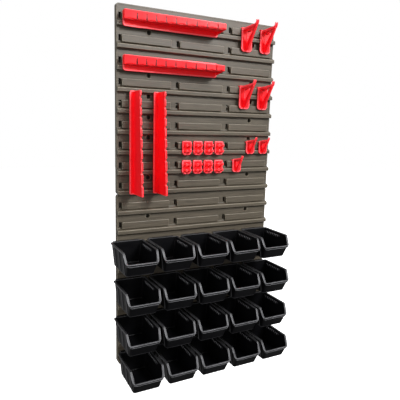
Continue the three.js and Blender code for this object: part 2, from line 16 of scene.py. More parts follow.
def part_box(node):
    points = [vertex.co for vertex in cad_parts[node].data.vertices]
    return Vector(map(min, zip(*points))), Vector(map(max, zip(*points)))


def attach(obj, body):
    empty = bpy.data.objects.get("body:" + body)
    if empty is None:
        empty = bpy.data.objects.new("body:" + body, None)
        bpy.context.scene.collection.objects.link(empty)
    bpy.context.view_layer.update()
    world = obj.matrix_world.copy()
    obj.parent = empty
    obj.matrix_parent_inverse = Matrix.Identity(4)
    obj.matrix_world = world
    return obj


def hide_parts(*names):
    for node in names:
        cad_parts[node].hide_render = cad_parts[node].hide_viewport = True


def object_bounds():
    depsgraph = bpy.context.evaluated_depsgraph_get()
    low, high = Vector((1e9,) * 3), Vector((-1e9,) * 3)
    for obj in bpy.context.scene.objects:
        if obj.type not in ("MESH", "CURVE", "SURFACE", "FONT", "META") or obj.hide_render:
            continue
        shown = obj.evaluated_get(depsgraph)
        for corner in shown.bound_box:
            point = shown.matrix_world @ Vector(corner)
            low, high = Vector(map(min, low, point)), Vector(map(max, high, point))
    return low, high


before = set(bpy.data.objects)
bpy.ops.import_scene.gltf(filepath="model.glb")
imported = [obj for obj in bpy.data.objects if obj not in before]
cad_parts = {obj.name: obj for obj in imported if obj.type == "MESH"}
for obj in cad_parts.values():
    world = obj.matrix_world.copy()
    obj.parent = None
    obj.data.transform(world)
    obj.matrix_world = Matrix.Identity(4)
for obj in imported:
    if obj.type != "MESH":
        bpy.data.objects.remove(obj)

bl_info = {
    "name": "Pegboard Tool Wall",
    "version": (1, 0, 0),
    "blender": (4, 5, 0),
    "location": "View3D > Sidebar > Tool Wall",
    "description": "Builds the moulded plates, bins and holders of a pegboard tool wall",
    "category": "Add Mesh",
}

CAD_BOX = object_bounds()
MM = 0.001  # metres in a millimetre

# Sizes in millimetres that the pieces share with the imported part.
ROWS = 9  # rail rows on a plate
BAND = 12.0  # wall to the recessed band
LIP = 20.0  # wall to the front of a lip
SKIN = 2.6  # moulded wall
RIB = 3.0  # back ribs and edge walls
LIP_HEIGHT = 11.3
LIP_SLOPE = 3.5
STRIPS = 3
STRIP_HEIGHT = 15.0
STRIP_THICK = 3.0
STRIP_FOOT = 3.0
STRIP_GAP = 20.0
EDGE_MARGIN = 10.5
SLOT = 3.0
WINDOW = (6.0, 12.0)
SCREW_RADIUS = 5.0
SCREW_ALONG = 60.0
SCREW_DROP = 7.5
SCREW_ROWS = (1, 3, 4, 5, 6, 8)
SCREW_STRIPS = (0, 2)
CORNER = 5.0  # outer corners of a plate
TONGUE_BACK = 8.0  # a holder's back to the far side of its tongue
TONGUE_THICK = 2.2
NECK = 2.5
CLEARANCE = 0.4
HOLDER = 3.0  # back plate of a holder

HOLD = 0.2  # gap between the end of a rounding and the point that keeps the flat beside it flat
SHARP = math.radians(40)  # a sharper edge than this is shaded as an edge

# This value is above zero where an edge is painted light, partly as rubbing from use and partly as
# painted highlight, and below zero where shade is painted dark into hollows, slots and undersides
Shell = namedtuple("Shell", "points quads caps wear")
PAINTED_DEEP_SHADE = -1.4  # value for a place painted as dark as deep shade


# ------------------------------------------------------------------------------ shells


def grid_quads(rows, columns, across=False, around=True):
    """Quads between neighbouring points of a grid; across and around also join its last row and
    column to its first."""
    r = np.arange(rows if across else rows - 1)[:, None]
    c = np.arange(columns if around else columns - 1)[None, :]
    corners = [(r, c), (r, c + 1), (r + 1, c + 1), (r + 1, c)]
    return np.stack([(a % rows) * columns + b % columns for a, b in corners], -1).reshape(-1, 4)


def faced_out(points, quads, caps):
    """Turns every face round when the closed shell's volume comes out negative. The volume is the
    sum of the tetrahedra that the faces' triangles make with the shell's middle."""
    triangles = [quads[:, [0, 1, 2]], quads[:, [0, 2, 3]]]
    triangles += [np.stack([np.full(len(c) - 2, c[0]), c[1:-1], c[2:]], 1) for c in caps]
    a, b, c = (points - points.mean(0))[np.concatenate(triangles)].transpose(1, 0, 2)
    if np.einsum("ij,ij->", a, np.cross(b, c)) < 0:
        return quads[:, ::-1], [cap[::-1] for cap in caps]
    return quads, caps


def shell_of(rings, wear=0.0, ring=False):
    """A closed shell over a grid of rings (rows, columns, xyz). Its two end rings are capped, or
    with ring it runs back into itself."""
    rows, columns = rings.shape[:2]
    points = rings.reshape(-1, 3)
    last = (rows - 1) * columns
    caps = [] if ring else [np.arange(columns)[::-1], np.arange(columns) + last]
    quads, caps = faced_out(points, grid_quads(rows, columns, across=ring), caps)
    return Shell(points, quads, caps, np.broadcast_to(wear, (rows, columns)).reshape(-1))


def moved(shells, offset):
    return [s._replace(points=s.points + np.asarray(offset, float)) for s in shells]


def piece(name, shells, material, body, node):
    """One object of several closed shells, in metres, that rides on a body and stands for a node."""
    starts = np.cumsum([0] + [len(s.points) for s in shells])
    points = np.concatenate([s.points for s in shells]) * MM
    if not np.isfinite(points).all():
        raise RuntimeError(f"{name} has a point without a place")
    faces = []
    for shell, start in zip(shells, starts):
        faces += (shell.quads + start).tolist()
        faces += [(cap + start).tolist() for cap in shell.caps]
    mesh = bpy.data.meshes.new(name)
    mesh.from_pydata(points.tolist(), [], faces)
    mesh.polygons.foreach_set("use_smooth", np.ones(len(faces), bool))
    wear = mesh.attributes.new("wear", "FLOAT", "POINT")
    wear.data.foreach_set("value", np.concatenate([s.wear for s in shells]).astype(np.float32))
    mesh.update()
    mesh.set_sharp_from_angle(angle=SHARP)
    mesh.materials.append(material)
    obj = bpy.data.objects.new(name, mesh)
    bpy.context.scene.collection.objects.link(obj)
    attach(obj, body)
    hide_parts(node)
    return obj


# ------------------------------------------------------------------------------ outlines


def rounded(corners, radii, steps=4):
    """A closed outline with round corners. Each corner becomes an arc that touches both of its
    sides, with one more point just past each end of the arc. Returns the points and how light
    each is painted, partly as rubbing from use and partly as highlight: 1 along the arcs and 0 at the
    points beside them."""
    c = np.asarray(corners, float)
    radii = np.broadcast_to(np.asarray(radii, float), len(c))
    back, ahead = np.roll(c, 1, 0) - c, np.roll(c, -1, 0) - c
    lengths = np.linalg.norm(back, axis=1), np.linalg.norm(ahead, axis=1)
    back, ahead = back / lengths[0][:, None], ahead / lengths[1][:, None]
    half = np.arccos(np.clip((back * ahead).sum(1), -0.9999, 0.9999)) / 2
    room = np.minimum(*lengths) / 2 - 1.2 * HOLD
    touch = np.clip(radii / np.tan(half), 0.02, np.maximum(room, 0.02))
    radius = touch * np.tan(half)
    # where both sides run straight on, the small extra part alone gives the way to the centre
    middle = back + ahead + 1e-7 * np.stack([-ahead[:, 1], ahead[:, 0]], 1)
    middle /= np.linalg.norm(middle, axis=1)[:, None]
    centre = c + middle * (radius / np.sin(half))[:, None]
    start, end = c + back * touch[:, None] - centre, c + ahead * touch[:, None] - centre
    turn = np.pi - 2 * half
    k = np.linspace(0, 1, steps + 1)
    a = (np.sin((1 - k) * turn[:, None]) / np.sin(turn)[:, None])[..., None]
    b = (np.sin(k * turn[:, None]) / np.sin(turn)[:, None])[..., None]
    arc = centre[:, None] + a * start[:, None] + b * end[:, None]
    first = (c + back * (touch + HOLD)[:, None])[:, None]
    last = (c + ahead * (touch + HOLD)[:, None])[:, None]
    points = np.concatenate([first, arc, last], 1)
    wear = np.tile(np.concatenate([[0], np.sin(np.pi * (0.1 + 0.8 * k)), [0]]), (len(c), 1))
    return points.reshape(-1, 2), wear.reshape(-1)


def outward(outline):
    """Direction out of a closed outline at each point: the sum of its two sides' normals, made
    longer at a corner so that both sides move out by the same distance."""
    before = outline - np.roll(outline, 1, 0)
    after = np.roll(before, -1, 0)
    x, y = outline.T
    area = np.sum(x * np.roll(y, -1) - np.roll(x, -1) * y)
    normals = [
        np.stack([side[:, 1], -side[:, 0]], 1) / np.linalg.norm(side, axis=1)[:, None]
        for side in (before, after)
    ]
    spread = 1 + (normals[0] * normals[1]).sum(1)
    return np.sign(area) * (normals[0] + normals[1]) / np.maximum(spread, 0.5)[:, None]


AXES = {"x": (2, 0, 1), "y": (0, 2, 1), "z": (0, 1, 2)}


def placed(flat, height, axis):
    """Outline points and heights as xyz: the outline is yz along x, xz along y and xy along z."""
    height = np.broadcast_to(height, flat.shape[:-1])[..., None]
    return np.concatenate([flat, height], -1)[..., AXES[axis]]


def edge_stations(low, high, radius, steps=3):
    """Inset, height and painted lightness of the rings of a prism with quarter-round edges, the edges
    painted light partly as rubbing from use and partly as highlight: at an angle a the ring is
    radius * (1 - sin a) in and radius * (1 - cos a) up."""
    a = np.linspace(0, np.pi / 2, steps + 1)
    inset = np.concatenate([[radius + HOLD], radius * (1 - np.sin(a)), [0]])
    rise = np.concatenate([[0], radius * (1 - np.cos(a)), [radius + HOLD]])
    wear = np.concatenate([[0], np.sin(np.pi * (0.1 + 0.8 * a / a[-1])), [0]])
    heights = np.concatenate([low + rise, high - rise[::-1]])
    return np.concatenate([inset, inset[::-1]]), heights, np.concatenate([wear, wear[::-1]])


def prism(outline, axis, low, high, radius=0.6, radii=0.6, steps=4):
    """An outline with round corners carried along one axis, with its end edges rounded too. No corner
    is rounded by less than the end edges draw in."""
    flat, corner_wear_and_highlight = rounded(outline, np.maximum(radii, radius + 1.2 * HOLD), steps)
    inset, heights, end_wear_and_highlight = edge_stations(low, high, radius)
    rings = flat - outward(flat) * inset[:, None, None]
    # the end edges, and more faintly the rounded corners, are painted light, partly as rubbing from use
    # and partly as highlight
    wear = np.maximum(end_wear_and_highlight[:, None], 0.6 * corner_wear_and_highlight * (inset < radius)[:, None])
    return shell_of(placed(rings, heights[:, None], axis), wear)


def framed_prism(outer, inner, axis, low, high, radius, radii):
    """As prism, with a window: the rings run over the outer edge and back through the window."""
    inset, heights, end_wear_and_highlight = edge_stations(low, high, radius)
    rings = []
    for outline, side, corner in zip((outer, inner), (-1, 1), radii):
        flat, _ = rounded(outline, corner)
        ring = placed(flat + side * outward(flat) * inset[:, None, None], heights[:, None], axis)
        rings.append(ring if side < 0 else ring[::-1])
    # the end edges are painted light, partly as rubbing from use and partly as highlight
    wear = np.concatenate([end_wear_and_highlight, end_wear_and_highlight])[:, None]
    return shell_of(np.concatenate(rings), wear, ring=True)


def lofted(path, half_width, half_thick, corner):
    """A bar along a path of yz points. At each point the section is a rectangle with round corners,
    half_width across x and half_thick along the path's normal."""
    along = np.gradient(path, axis=0)
    along /= np.linalg.norm(along, axis=1)[:, None]
    normal = np.stack([-along[:, 1], along[:, 0]], 1)
    a = np.linspace(0, 2 * np.pi, 24, endpoint=False) + np.pi / 24
    ox, on = np.cos(a), np.sin(a)
    r = np.minimum(corner, 0.98 * np.minimum(half_width, half_thick))[:, None]
    x = np.sign(ox) * (half_width[:, None] - r) + r * ox
    n = np.sign(on) * (half_thick[:, None] - r) + r * on
    yz = path[:, None] + normal[:, None] * n[..., None]
    # the section's rounded corners are painted light, partly as rubbing from use and partly as highlight
    wear = np.broadcast_to(np.abs(np.sin(2 * a)), x.shape)
    return shell_of(np.concatenate([x[..., None], yz], -1), wear)


def rectangle(u0, v0, u1, v1):
    return [(u0, v0), (u1, v0), (u1, v1), (u0, v1)]


# ------------------------------------------------------------------------------ rail plates

EXTRA_LEVELS = (-1.8, -2.6, -3.5)  # points below a row's top that its round outer corner needs
LIP_LEVELS = (5.0, 3.8, 2.8, 2.0)  # and above a lip's nose
ROUNDING_STEPS = 4
PER_CORNER = ROUNDING_STEPS + 3  # points that rounded() makes of one corner
CORNER_COLUMNS = (CORNER, 3.9, 2.8, 2.0)  # columns of points that its round corner needs, from its side
CIRCLE_POINTS = 12
SCREW_POCKET = 2.2  # wall of the cup behind a screw hole
WINDOW_POCKET = 1.2  # and behind a window


def row_line(first, second, one, last, pitch, radii, levels):
    """The yz line of all rows of a plate from its top down. one is a row's four corners, z from the
    row's top, with the first of the top row replaced by second. levels are more heights on the band,
    where openings begin and end. Returns the points and a paint value for each: below zero for
    painted shade in the hollow corners, and above zero on the outer edges, painted light partly as
    rubbing from use and partly as highlight."""
    drop = -pitch * np.arange(ROWS)[:, None, None] * [[[0, 1]]]
    rows = (np.asarray(one, float)[None] + drop).reshape(-1, 2)
    rows[0] = second
    flat, wear = rounded(
        np.concatenate([[first], rows, [last]]), [0.1, *radii * ROWS, 0.1], ROUNDING_STEPS
    )
    ends = flat[:PER_CORNER], flat[-PER_CORNER:]
    flat = flat[PER_CORNER:-PER_CORNER].reshape(ROWS, -1, 2)
    # painted shade in each row's two hollow corners, and light on the lip's two outer edges, painted
    # partly as rubbing from use and partly as highlight
    wear = wear[PER_CORNER:-PER_CORNER].reshape(ROWS, 4, -1) * [[-0.6], [-0.6], [0.9], [1.0]]
    # the top row's first corner is the plate's outer top edge, painted light like the lips
    wear[0, 0] *= -1
    wear = wear.reshape(ROWS, -1)
    band = np.stack([np.full(len(levels), one[1][0]), levels], 1)[None] + drop
    nose = np.stack([np.full(len(LIP_LEVELS), one[2][0]), one[3][1] + np.array(LIP_LEVELS)], 1)
    nose = nose[None] + drop
    parts = [flat[:, :PER_CORNER], band, flat[:, PER_CORNER : -PER_CORNER], nose, flat[:, -PER_CORNER:]]
    line = np.concatenate([ends[0], np.concatenate(parts, 1).reshape(-1, 2), ends[1]])
    parts = [
        wear[:, :PER_CORNER],
        np.zeros((ROWS, len(levels))),
        wear[:, PER_CORNER:-PER_CORNER],
        np.zeros((ROWS, len(LIP_LEVELS))),
        wear[:, -PER_CORNER:],
    ]
    clean = np.zeros(PER_CORNER)
    return line, np.concatenate([clean, np.concatenate(parts, 1).reshape(-1), clean])


def plate_layout(width, pitch):
    """Left ends and length of the strips, and the height of their tops below a row's top."""
    length = (width - 2 * EDGE_MARGIN - (STRIPS - 1) * STRIP_GAP) / STRIPS
    starts = -width / 2 + EDGE_MARGIN + np.arange(STRIPS) * (length + STRIP_GAP)
    return starts, length, pitch - LIP_HEIGHT - STRIP_HEIGHT


def plate_skin(width, pitch, edge):
    """The moulded wall of a plate. Its front and its back are grids of one size, the row line by the
    columns across, without the cells of the windows and the screw holes, and walls join the two
    along every open edge. Towards each end the front draws back along a quarter circle."""
    starts, _, strip_drop = plate_layout(width, pitch)
    foot = LIP_HEIGHT - pitch
    square = 0.9 * SCREW_RADIUS
    openings = (square - SCREW_DROP, -square - SCREW_DROP, -strip_drop, -strip_drop - WINDOW[1])
    levels = (*EXTRA_LEVELS, *openings)
    inner, front_in = -BAND + SKIN, -LIP + SKIN
    bend = foot - 1.2  # where the back of the wall turns, below the front's own turn
    height = ROWS * pitch
    front, front_wear_and_painted_light = row_line(
        (SKIN / 2 - BAND, 0),
        (-BAND, 0),
        [(-BAND, 0), (-BAND, foot), (-LIP, foot - LIP_SLOPE), (-LIP, -pitch)],
        (SKIN / 2 - BAND, -height),
        pitch,
        (0.9 * edge, 1.6 * edge, 1.5 * edge, 1.1 * edge),
        levels,
    )
    back, _ = row_line(
        (SKIN / 2 - BAND, -0.6),
        (inner, -1.2),
        [(inner, SKIN), (inner, bend), (front_in, bend - LIP_SLOPE), (front_in, SKIN - pitch)],
        (SKIN / 2 - BAND, SKIN - height),
        pitch,
        (0.3, 0.6, 0.6, 0.6),
        levels,
    )
    half = width / 2
    screws = starts[list(SCREW_STRIPS)] + SCREW_ALONG
    marks = np.concatenate([starts - WINDOW[0], starts, screws - square, screws + square])
    # without the flat rings at the two ends, where the back's columns would fall on each other
    inset, near, worn_and_painted_light = (part[1:-1] for part in edge_stations(-half, half, edge))
    corner = half - np.array(CORNER_COLUMNS)
    x = np.concatenate([near, marks, corner, -corner])
    inset = np.concatenate([inset, np.zeros(len(x) - len(near))])
    worn_and_painted_light = np.concatenate([worn_and_painted_light, np.zeros(len(x) - len(near))])
    order = np.argsort(x)
    x, inset, worn_and_painted_light = x[order], inset[order], worn_and_painted_light[order]
    moved_front = front[:, None] - outward(front)[:, None] * inset[:, None]
    count = len(x)
    grids = [
        np.concatenate([np.broadcast_to(x[:, None], (len(line), count, 1)), line], 2)
        for line in (moved_front, np.broadcast_to(back[:, None], (len(back), count, 2)))
    ]
    points = np.concatenate([g.reshape(-1, 3) for g in grids])
    # the front takes painted shade in the hollow corners and painted light on the outer edges and ends,
    # partly as rubbing from use and partly as highlight; the back takes none
    wear = np.maximum(front_wear_and_painted_light[:, None], worn_and_painted_light) * (front_wear_and_painted_light[:, None] >= 0)
    wear = np.where(front_wear_and_painted_light[:, None] < 0, front_wear_and_painted_light[:, None], wear).reshape(-1)
    wear = np.concatenate([wear, np.zeros(len(wear))])

    middle = (x[1:] + x[:-1]) / 2
    beside = ((middle > starts[:, None] - WINDOW[0]) & (middle < starts[:, None])).any(0)
    above = (np.abs(middle - screws[:, None]) < square).any(0)
    block = 4 * PER_CORNER + len(levels) + len(LIP_LEVELS)
    opening = 2 * PER_CORNER + len(EXTRA_LEVELS) + block * np.arange(ROWS)
    open_cell = np.zeros((len(front) - 1, count - 1), bool)
    open_cell[opening + 2] = beside
    open_cell[opening[list(SCREW_ROWS)]] = above
    quads = grid_quads(len(front), count, around=False)[~open_cell.reshape(-1)]
    edges = np.concatenate([quads[:, [k, (k + 1) % 4]] for k in range(4)]).astype(np.int64)
    size = len(front) * count
    rim = edges[~np.isin(edges[:, 0] * size + edges[:, 1], edges[:, 1] * size + edges[:, 0])]
    walls = np.stack([rim[:, 1], rim[:, 0], rim[:, 0] + size, rim[:, 1] + size], 1)
    faces, _ = faced_out(points, np.concatenate([quads, (quads + size)[:, ::-1], walls]), [])
    return Shell(points, faces, [], wear)


def pocket(outline, radii, back, front, wall, chamfer):
    """A moulded cup behind an opening, from its back up its outside, over its front edge and down
    inside to its floor. Each ring is the opening's outline, moved out by the wall or not at all."""
    flat, _ = rounded(outline, radii, 3)
    out = outward(flat)
    spread = [wall, wall, 0.5 * wall, chamfer, 0, 0]
    depth = [back, front + 0.2, front, front, front + 2 * chamfer, back - wall]
    rings = [placed(flat + out * s, y, "y") for s, y in zip(spread, depth)]
    # the cup's front edge is painted light, partly as rubbing from use and partly as highlight, and its
    # floor is painted dark as shade
    return shell_of(np.stack(rings), np.array([0, 0, 0.6, 0.6, 0, -1])[:, None])


def circle(x, z, radius):
    a = np.linspace(0, 2 * np.pi, CIRCLE_POINTS, endpoint=False)
    return np.stack([x + radius * np.cos(a), z + radius * np.sin(a)], 1)


def plate_strips(width, pitch, edge):
    """The upright strips, each on a foot that leaves a slot open at the top behind it."""
    starts, length, strip_drop = plate_layout(width, pitch)
    inner, face = -BAND - SLOT, -BAND - SLOT - STRIP_THICK
    root = -BAND + SKIN / 2
    shells = []
    for row in range(ROWS):
        head = -row * pitch - strip_drop
        foot = head - STRIP_HEIGHT
        outline = [
            (face, head),
            (face, foot),
            (root, foot),
            (root, foot + STRIP_FOOT),
            (inner, foot + STRIP_FOOT),
            (inner, head),
        ]
        radii = (1.2 * edge, 0.9 * edge, 0.4, 0.4, 1.2, 0.9 * edge)
        shells += [prism(outline, "x", x, x + length, edge, radii, 3) for x in starts]
    return shells


def plate_frame(width, pitch):
    """The walls round the edge, the ribs behind the skin, and the ends of the lips."""
    height = ROWS * pitch
    half = width / 2
    front = -BAND + SKIN / 2
    around = rectangle(0.05 - half, 0.05 - height, half - 0.05, -0.05)
    within = rectangle(RIB - half, RIB - height, half - RIB, -RIB)
    shells = [framed_prism(around, within, "y", front, 0, 0.3, (CORNER, CORNER - RIB))]
    middle = rectangle(front, -height / 2 - RIB / 2, -0.2, -height / 2 + RIB / 2)
    shells.append(prism(middle, "x", 1.5 - half, half - 1.5, 0.3, 0.6, 2))
    gap = plate_layout(width, pitch)[1] / 2 + STRIP_GAP / 2
    for x in (-gap, 0, gap):
        upright = rectangle(x - RIB / 2, front, x + RIB / 2, -0.2)
        shells.append(prism(upright, "z", 1.5 - height, -1.5, 0.3, 0.6, 2))
    foot = LIP_HEIGHT - pitch
    deep = SKIN / 2
    for drop in pitch * np.arange(ROWS):
        end = [
            (front + 2, foot - drop),
            (front, foot - 0.6 - drop),
            (deep - LIP, foot - LIP_SLOPE - 0.6 - drop),
            (deep - LIP, CORNER - pitch - drop),
            (deep - LIP, deep - pitch - drop),
            (front + 2, deep - pitch - drop),
            (front + 2, CORNER - pitch - drop),
        ]
        for x in (0.06 - half, half - RIB):
            shells.append(prism(end, "x", x, x + RIB - 0.06, 0.2, 0.5, 2))
    return shells


def rounded_corners(shells, width, height):
    """Draws the plate's four outer corners in. The square beyond each corner's centre is mapped to a
    quarter disc: a point's offset is scaled by its larger part over its length."""
    half = np.array([width / 2, height / 2])
    result = []
    for shell in shells:
        flat = shell.points[:, [0, 2]] + [0, height / 2]
        offset = np.abs(flat) - (half - CORNER)
        past = (offset > 0).all(1)
        offset = np.maximum(offset, 1e-6)
        scale = offset.max(1) / np.linalg.norm(offset, axis=1)
        drawn = np.sign(flat) * (half - CORNER + offset * scale[:, None])
        points = shell.points.copy()
        points[past, 0] = drawn[past, 0]
        points[past, 2] = drawn[past, 1] - height / 2
        result.append(shell._replace(points=points))
    return result


def plate_shells(width, height, edge):
    pitch = height / ROWS
    starts, _, strip_drop = plate_layout(width, pitch)
    walls, *frame_shells = plate_frame(width, pitch)
    shells = [plate_skin(width, pitch, edge), *frame_shells, *plate_strips(width, pitch, edge)]
    for row in range(ROWS):
        head = -row * pitch - strip_drop
        for x in starts:
            window = rectangle(x - WINDOW[0], head - WINDOW[1], x, head)
            shells.append(pocket(window, 0.3, -SKIN, SKIN - BAND - 0.1, WINDOW_POCKET, 0.05))
    for row in SCREW_ROWS:
        for x in starts[list(SCREW_STRIPS)] + SCREW_ALONG:
            hole = circle(x, -row * pitch - SCREW_DROP, SCREW_RADIUS)
            shells.append(pocket(hole, 1.5, -1.2, -BAND - 0.3, SCREW_POCKET, 0.4))
    return [walls, *rounded_corners(shells, width, height)]


# ------------------------------------------------------------------------------ holders' parts


RIM_WIDTH = 1.5  # raised rim round a holder's face
RIM_HEIGHT = 0.7
RIM_FOOT = (0.5, 0.8)  # from the rim's top to its foot, and on to the point that keeps the face flat


def back_plate(x0, z0, x1, z1, lower, upper, edge):
    """A holder's back with round corners and a low raised rim round its face: rings run from the back
    over the outer edge and the rim and down to the face inside it."""
    least = edge + RIM_WIDTH + 1.2
    corners = np.maximum((lower, lower, upper, upper), least)
    flat, _ = rounded(rectangle(x0, z0, x1, z1), corners, 6)
    inset, depth, worn_and_painted_light = edge_stations(-HOLDER, 0, edge)
    inset, depth, worn_and_painted_light = inset[::-1], depth[::-1], worn_and_painted_light[::-1]
    inset = np.concatenate([inset, inset[-1] + RIM_WIDTH + np.array([0, *RIM_FOOT])])
    depth = np.concatenate([depth, [-HOLDER, RIM_HEIGHT - HOLDER, RIM_HEIGHT - HOLDER]])
    front = depth < -HOLDER / 2
    worn_and_painted_light = np.concatenate([worn_and_painted_light[:-1], [1, 1, 0, 0]])  # both edges of the rim are painted light as highlights
    rings = flat - outward(flat) * inset[:, None, None]
    return shell_of(placed(rings, depth[:, None], "y"), (worn_and_painted_light * front)[:, None])


def strip_hook(x0, x1, above, tongue):
    """The neck over a strip's top and the tongue that drops into the slot behind it."""
    neck = CLEARANCE - above
    near, far = TONGUE_BACK - TONGUE_THICK, TONGUE_BACK
    outline = [
        (-HOLDER / 2, neck),
        (near, neck),
        (near, neck - tongue),
        (far, neck - tongue),
        (far, neck + NECK),
        (-HOLDER / 2, neck + NECK),
    ]
    return prism(outline, "x", x0, x1, 0.5, (0.3, 0.4, 0.8, 0.8, 1.2, 0.3), 3)


# ------------------------------------------------------------------------------ bins

BIN_WIDTH = 76.0
BIN_DEPTH = 104.0
BIN_HEIGHT = 52.0
BIN_TAPER = 5.5  # the rim's width past the floor's, on each side
BIN_OVER = 2.5  # rim past the side walls
BIN_LIP_OVER = 2.0  # front lip past the front wall
BIN_DROP = 22.0  # rim to the front lip
BIN_SLOPE = 14.0  # length of the slope from the rim down to the lip
BIN_LEAN = 14.0  # the front wall's foot behind its head
BIN_CORNER = 5.0
BIN_STRAIGHT = 82.6  # the side walls are square to the back up to here
BIN_RIBS = (24.0, 52.0, 80.0)  # from the back to each upright rib outside
BIN_RIB = (2.5, 1.6)  # its width and depth
BIN_TICKS = (10.0, 66.0)  # stretch of a side wall with short ribs on its inside, from the back
BIN_TICK = (7.0, 1.1, 6.0, 12.0)  # their pitch, depth, and rim to their head and foot
BIN_BAND = (3.0, 3.2)  # height of the rim's band, and how much more it has at the front
BIN_GROOVE = 0.9  # depth of the groove between the front lip's two ridges
BIN_FOOT = 2.6  # radius between the walls and the floor, outside and inside
BIN_ABOVE = 3.0  # top of the strip to the rim
BIN_TONGUE = 8.0
BIN_HOOK = 60.0  # width of the neck and the tongue
RIM_DARK = 0.25  # painted highlight on the level rims, as a share of that low on the slope
RIM_FADE = 6.0  # drop from the rim in which the slope's painted highlight comes up


def bin_walk():
    """The walk round a bin's wall, anticlockwise from above. Returns for each point the side it is on
    (-1 to 1), its distance from the back, and the outward direction: straight runs between four
    quarter circles, with close points at each side rib."""
    far = BIN_DEPTH - BIN_LIP_OVER - BIN_CORNER
    rib = np.array([0, 0.5, BIN_RIB[0] - 0.5, BIN_RIB[0]])
    ribs = (np.array(BIN_RIBS)[:, None] + rib).reshape(-1)
    close = np.arange(BIN_TICKS[0] - 2, BIN_TICKS[1] + 1)  # for the ticks, and then wider
    even = np.concatenate([close, np.arange(74, far, 2.6)])
    even = even[np.abs(even[:, None] - ribs).min(1) > 0.6]
    side = np.sort(np.concatenate([even, ribs]))
    across = np.linspace(-1, 1, 13)[1:-1]
    arc = np.radians(np.linspace(0, 90, 6))

    def straight(*values):
        return np.stack(np.broadcast_arrays(*np.atleast_1d(*values)))

    def quarter(side_share, depth, start):
        a = arc + np.radians(start)
        return straight(side_share, depth, np.cos(a), np.sin(a))

    runs = [
        straight(across, far, 0, -1),
        quarter(1, far, -90),
        straight(1, side[::-1], 1, 0),
        quarter(1, BIN_CORNER, 0),
        straight(-across, BIN_CORNER, 0, 1),
        quarter(-1, BIN_CORNER, 90),
        straight(-1, side, -1, 0),
        quarter(-1, far, 180),
    ]
    return np.concatenate(runs, 1)


def soft_ramp(t, soft=0.12):
    """0 below 0, t up to 1 and 1 above, with the two bends turned into short parabolas."""
    low = np.where(t < -soft, 0, np.where(t < soft, (t + soft) ** 2 / (4 * soft), t))
    top = 1 - t
    high = np.where(top < -soft, 0, np.where(top < soft, (top + soft) ** 2 / (4 * soft), top))
    return np.where(t < 0.5, low, 1 - high)


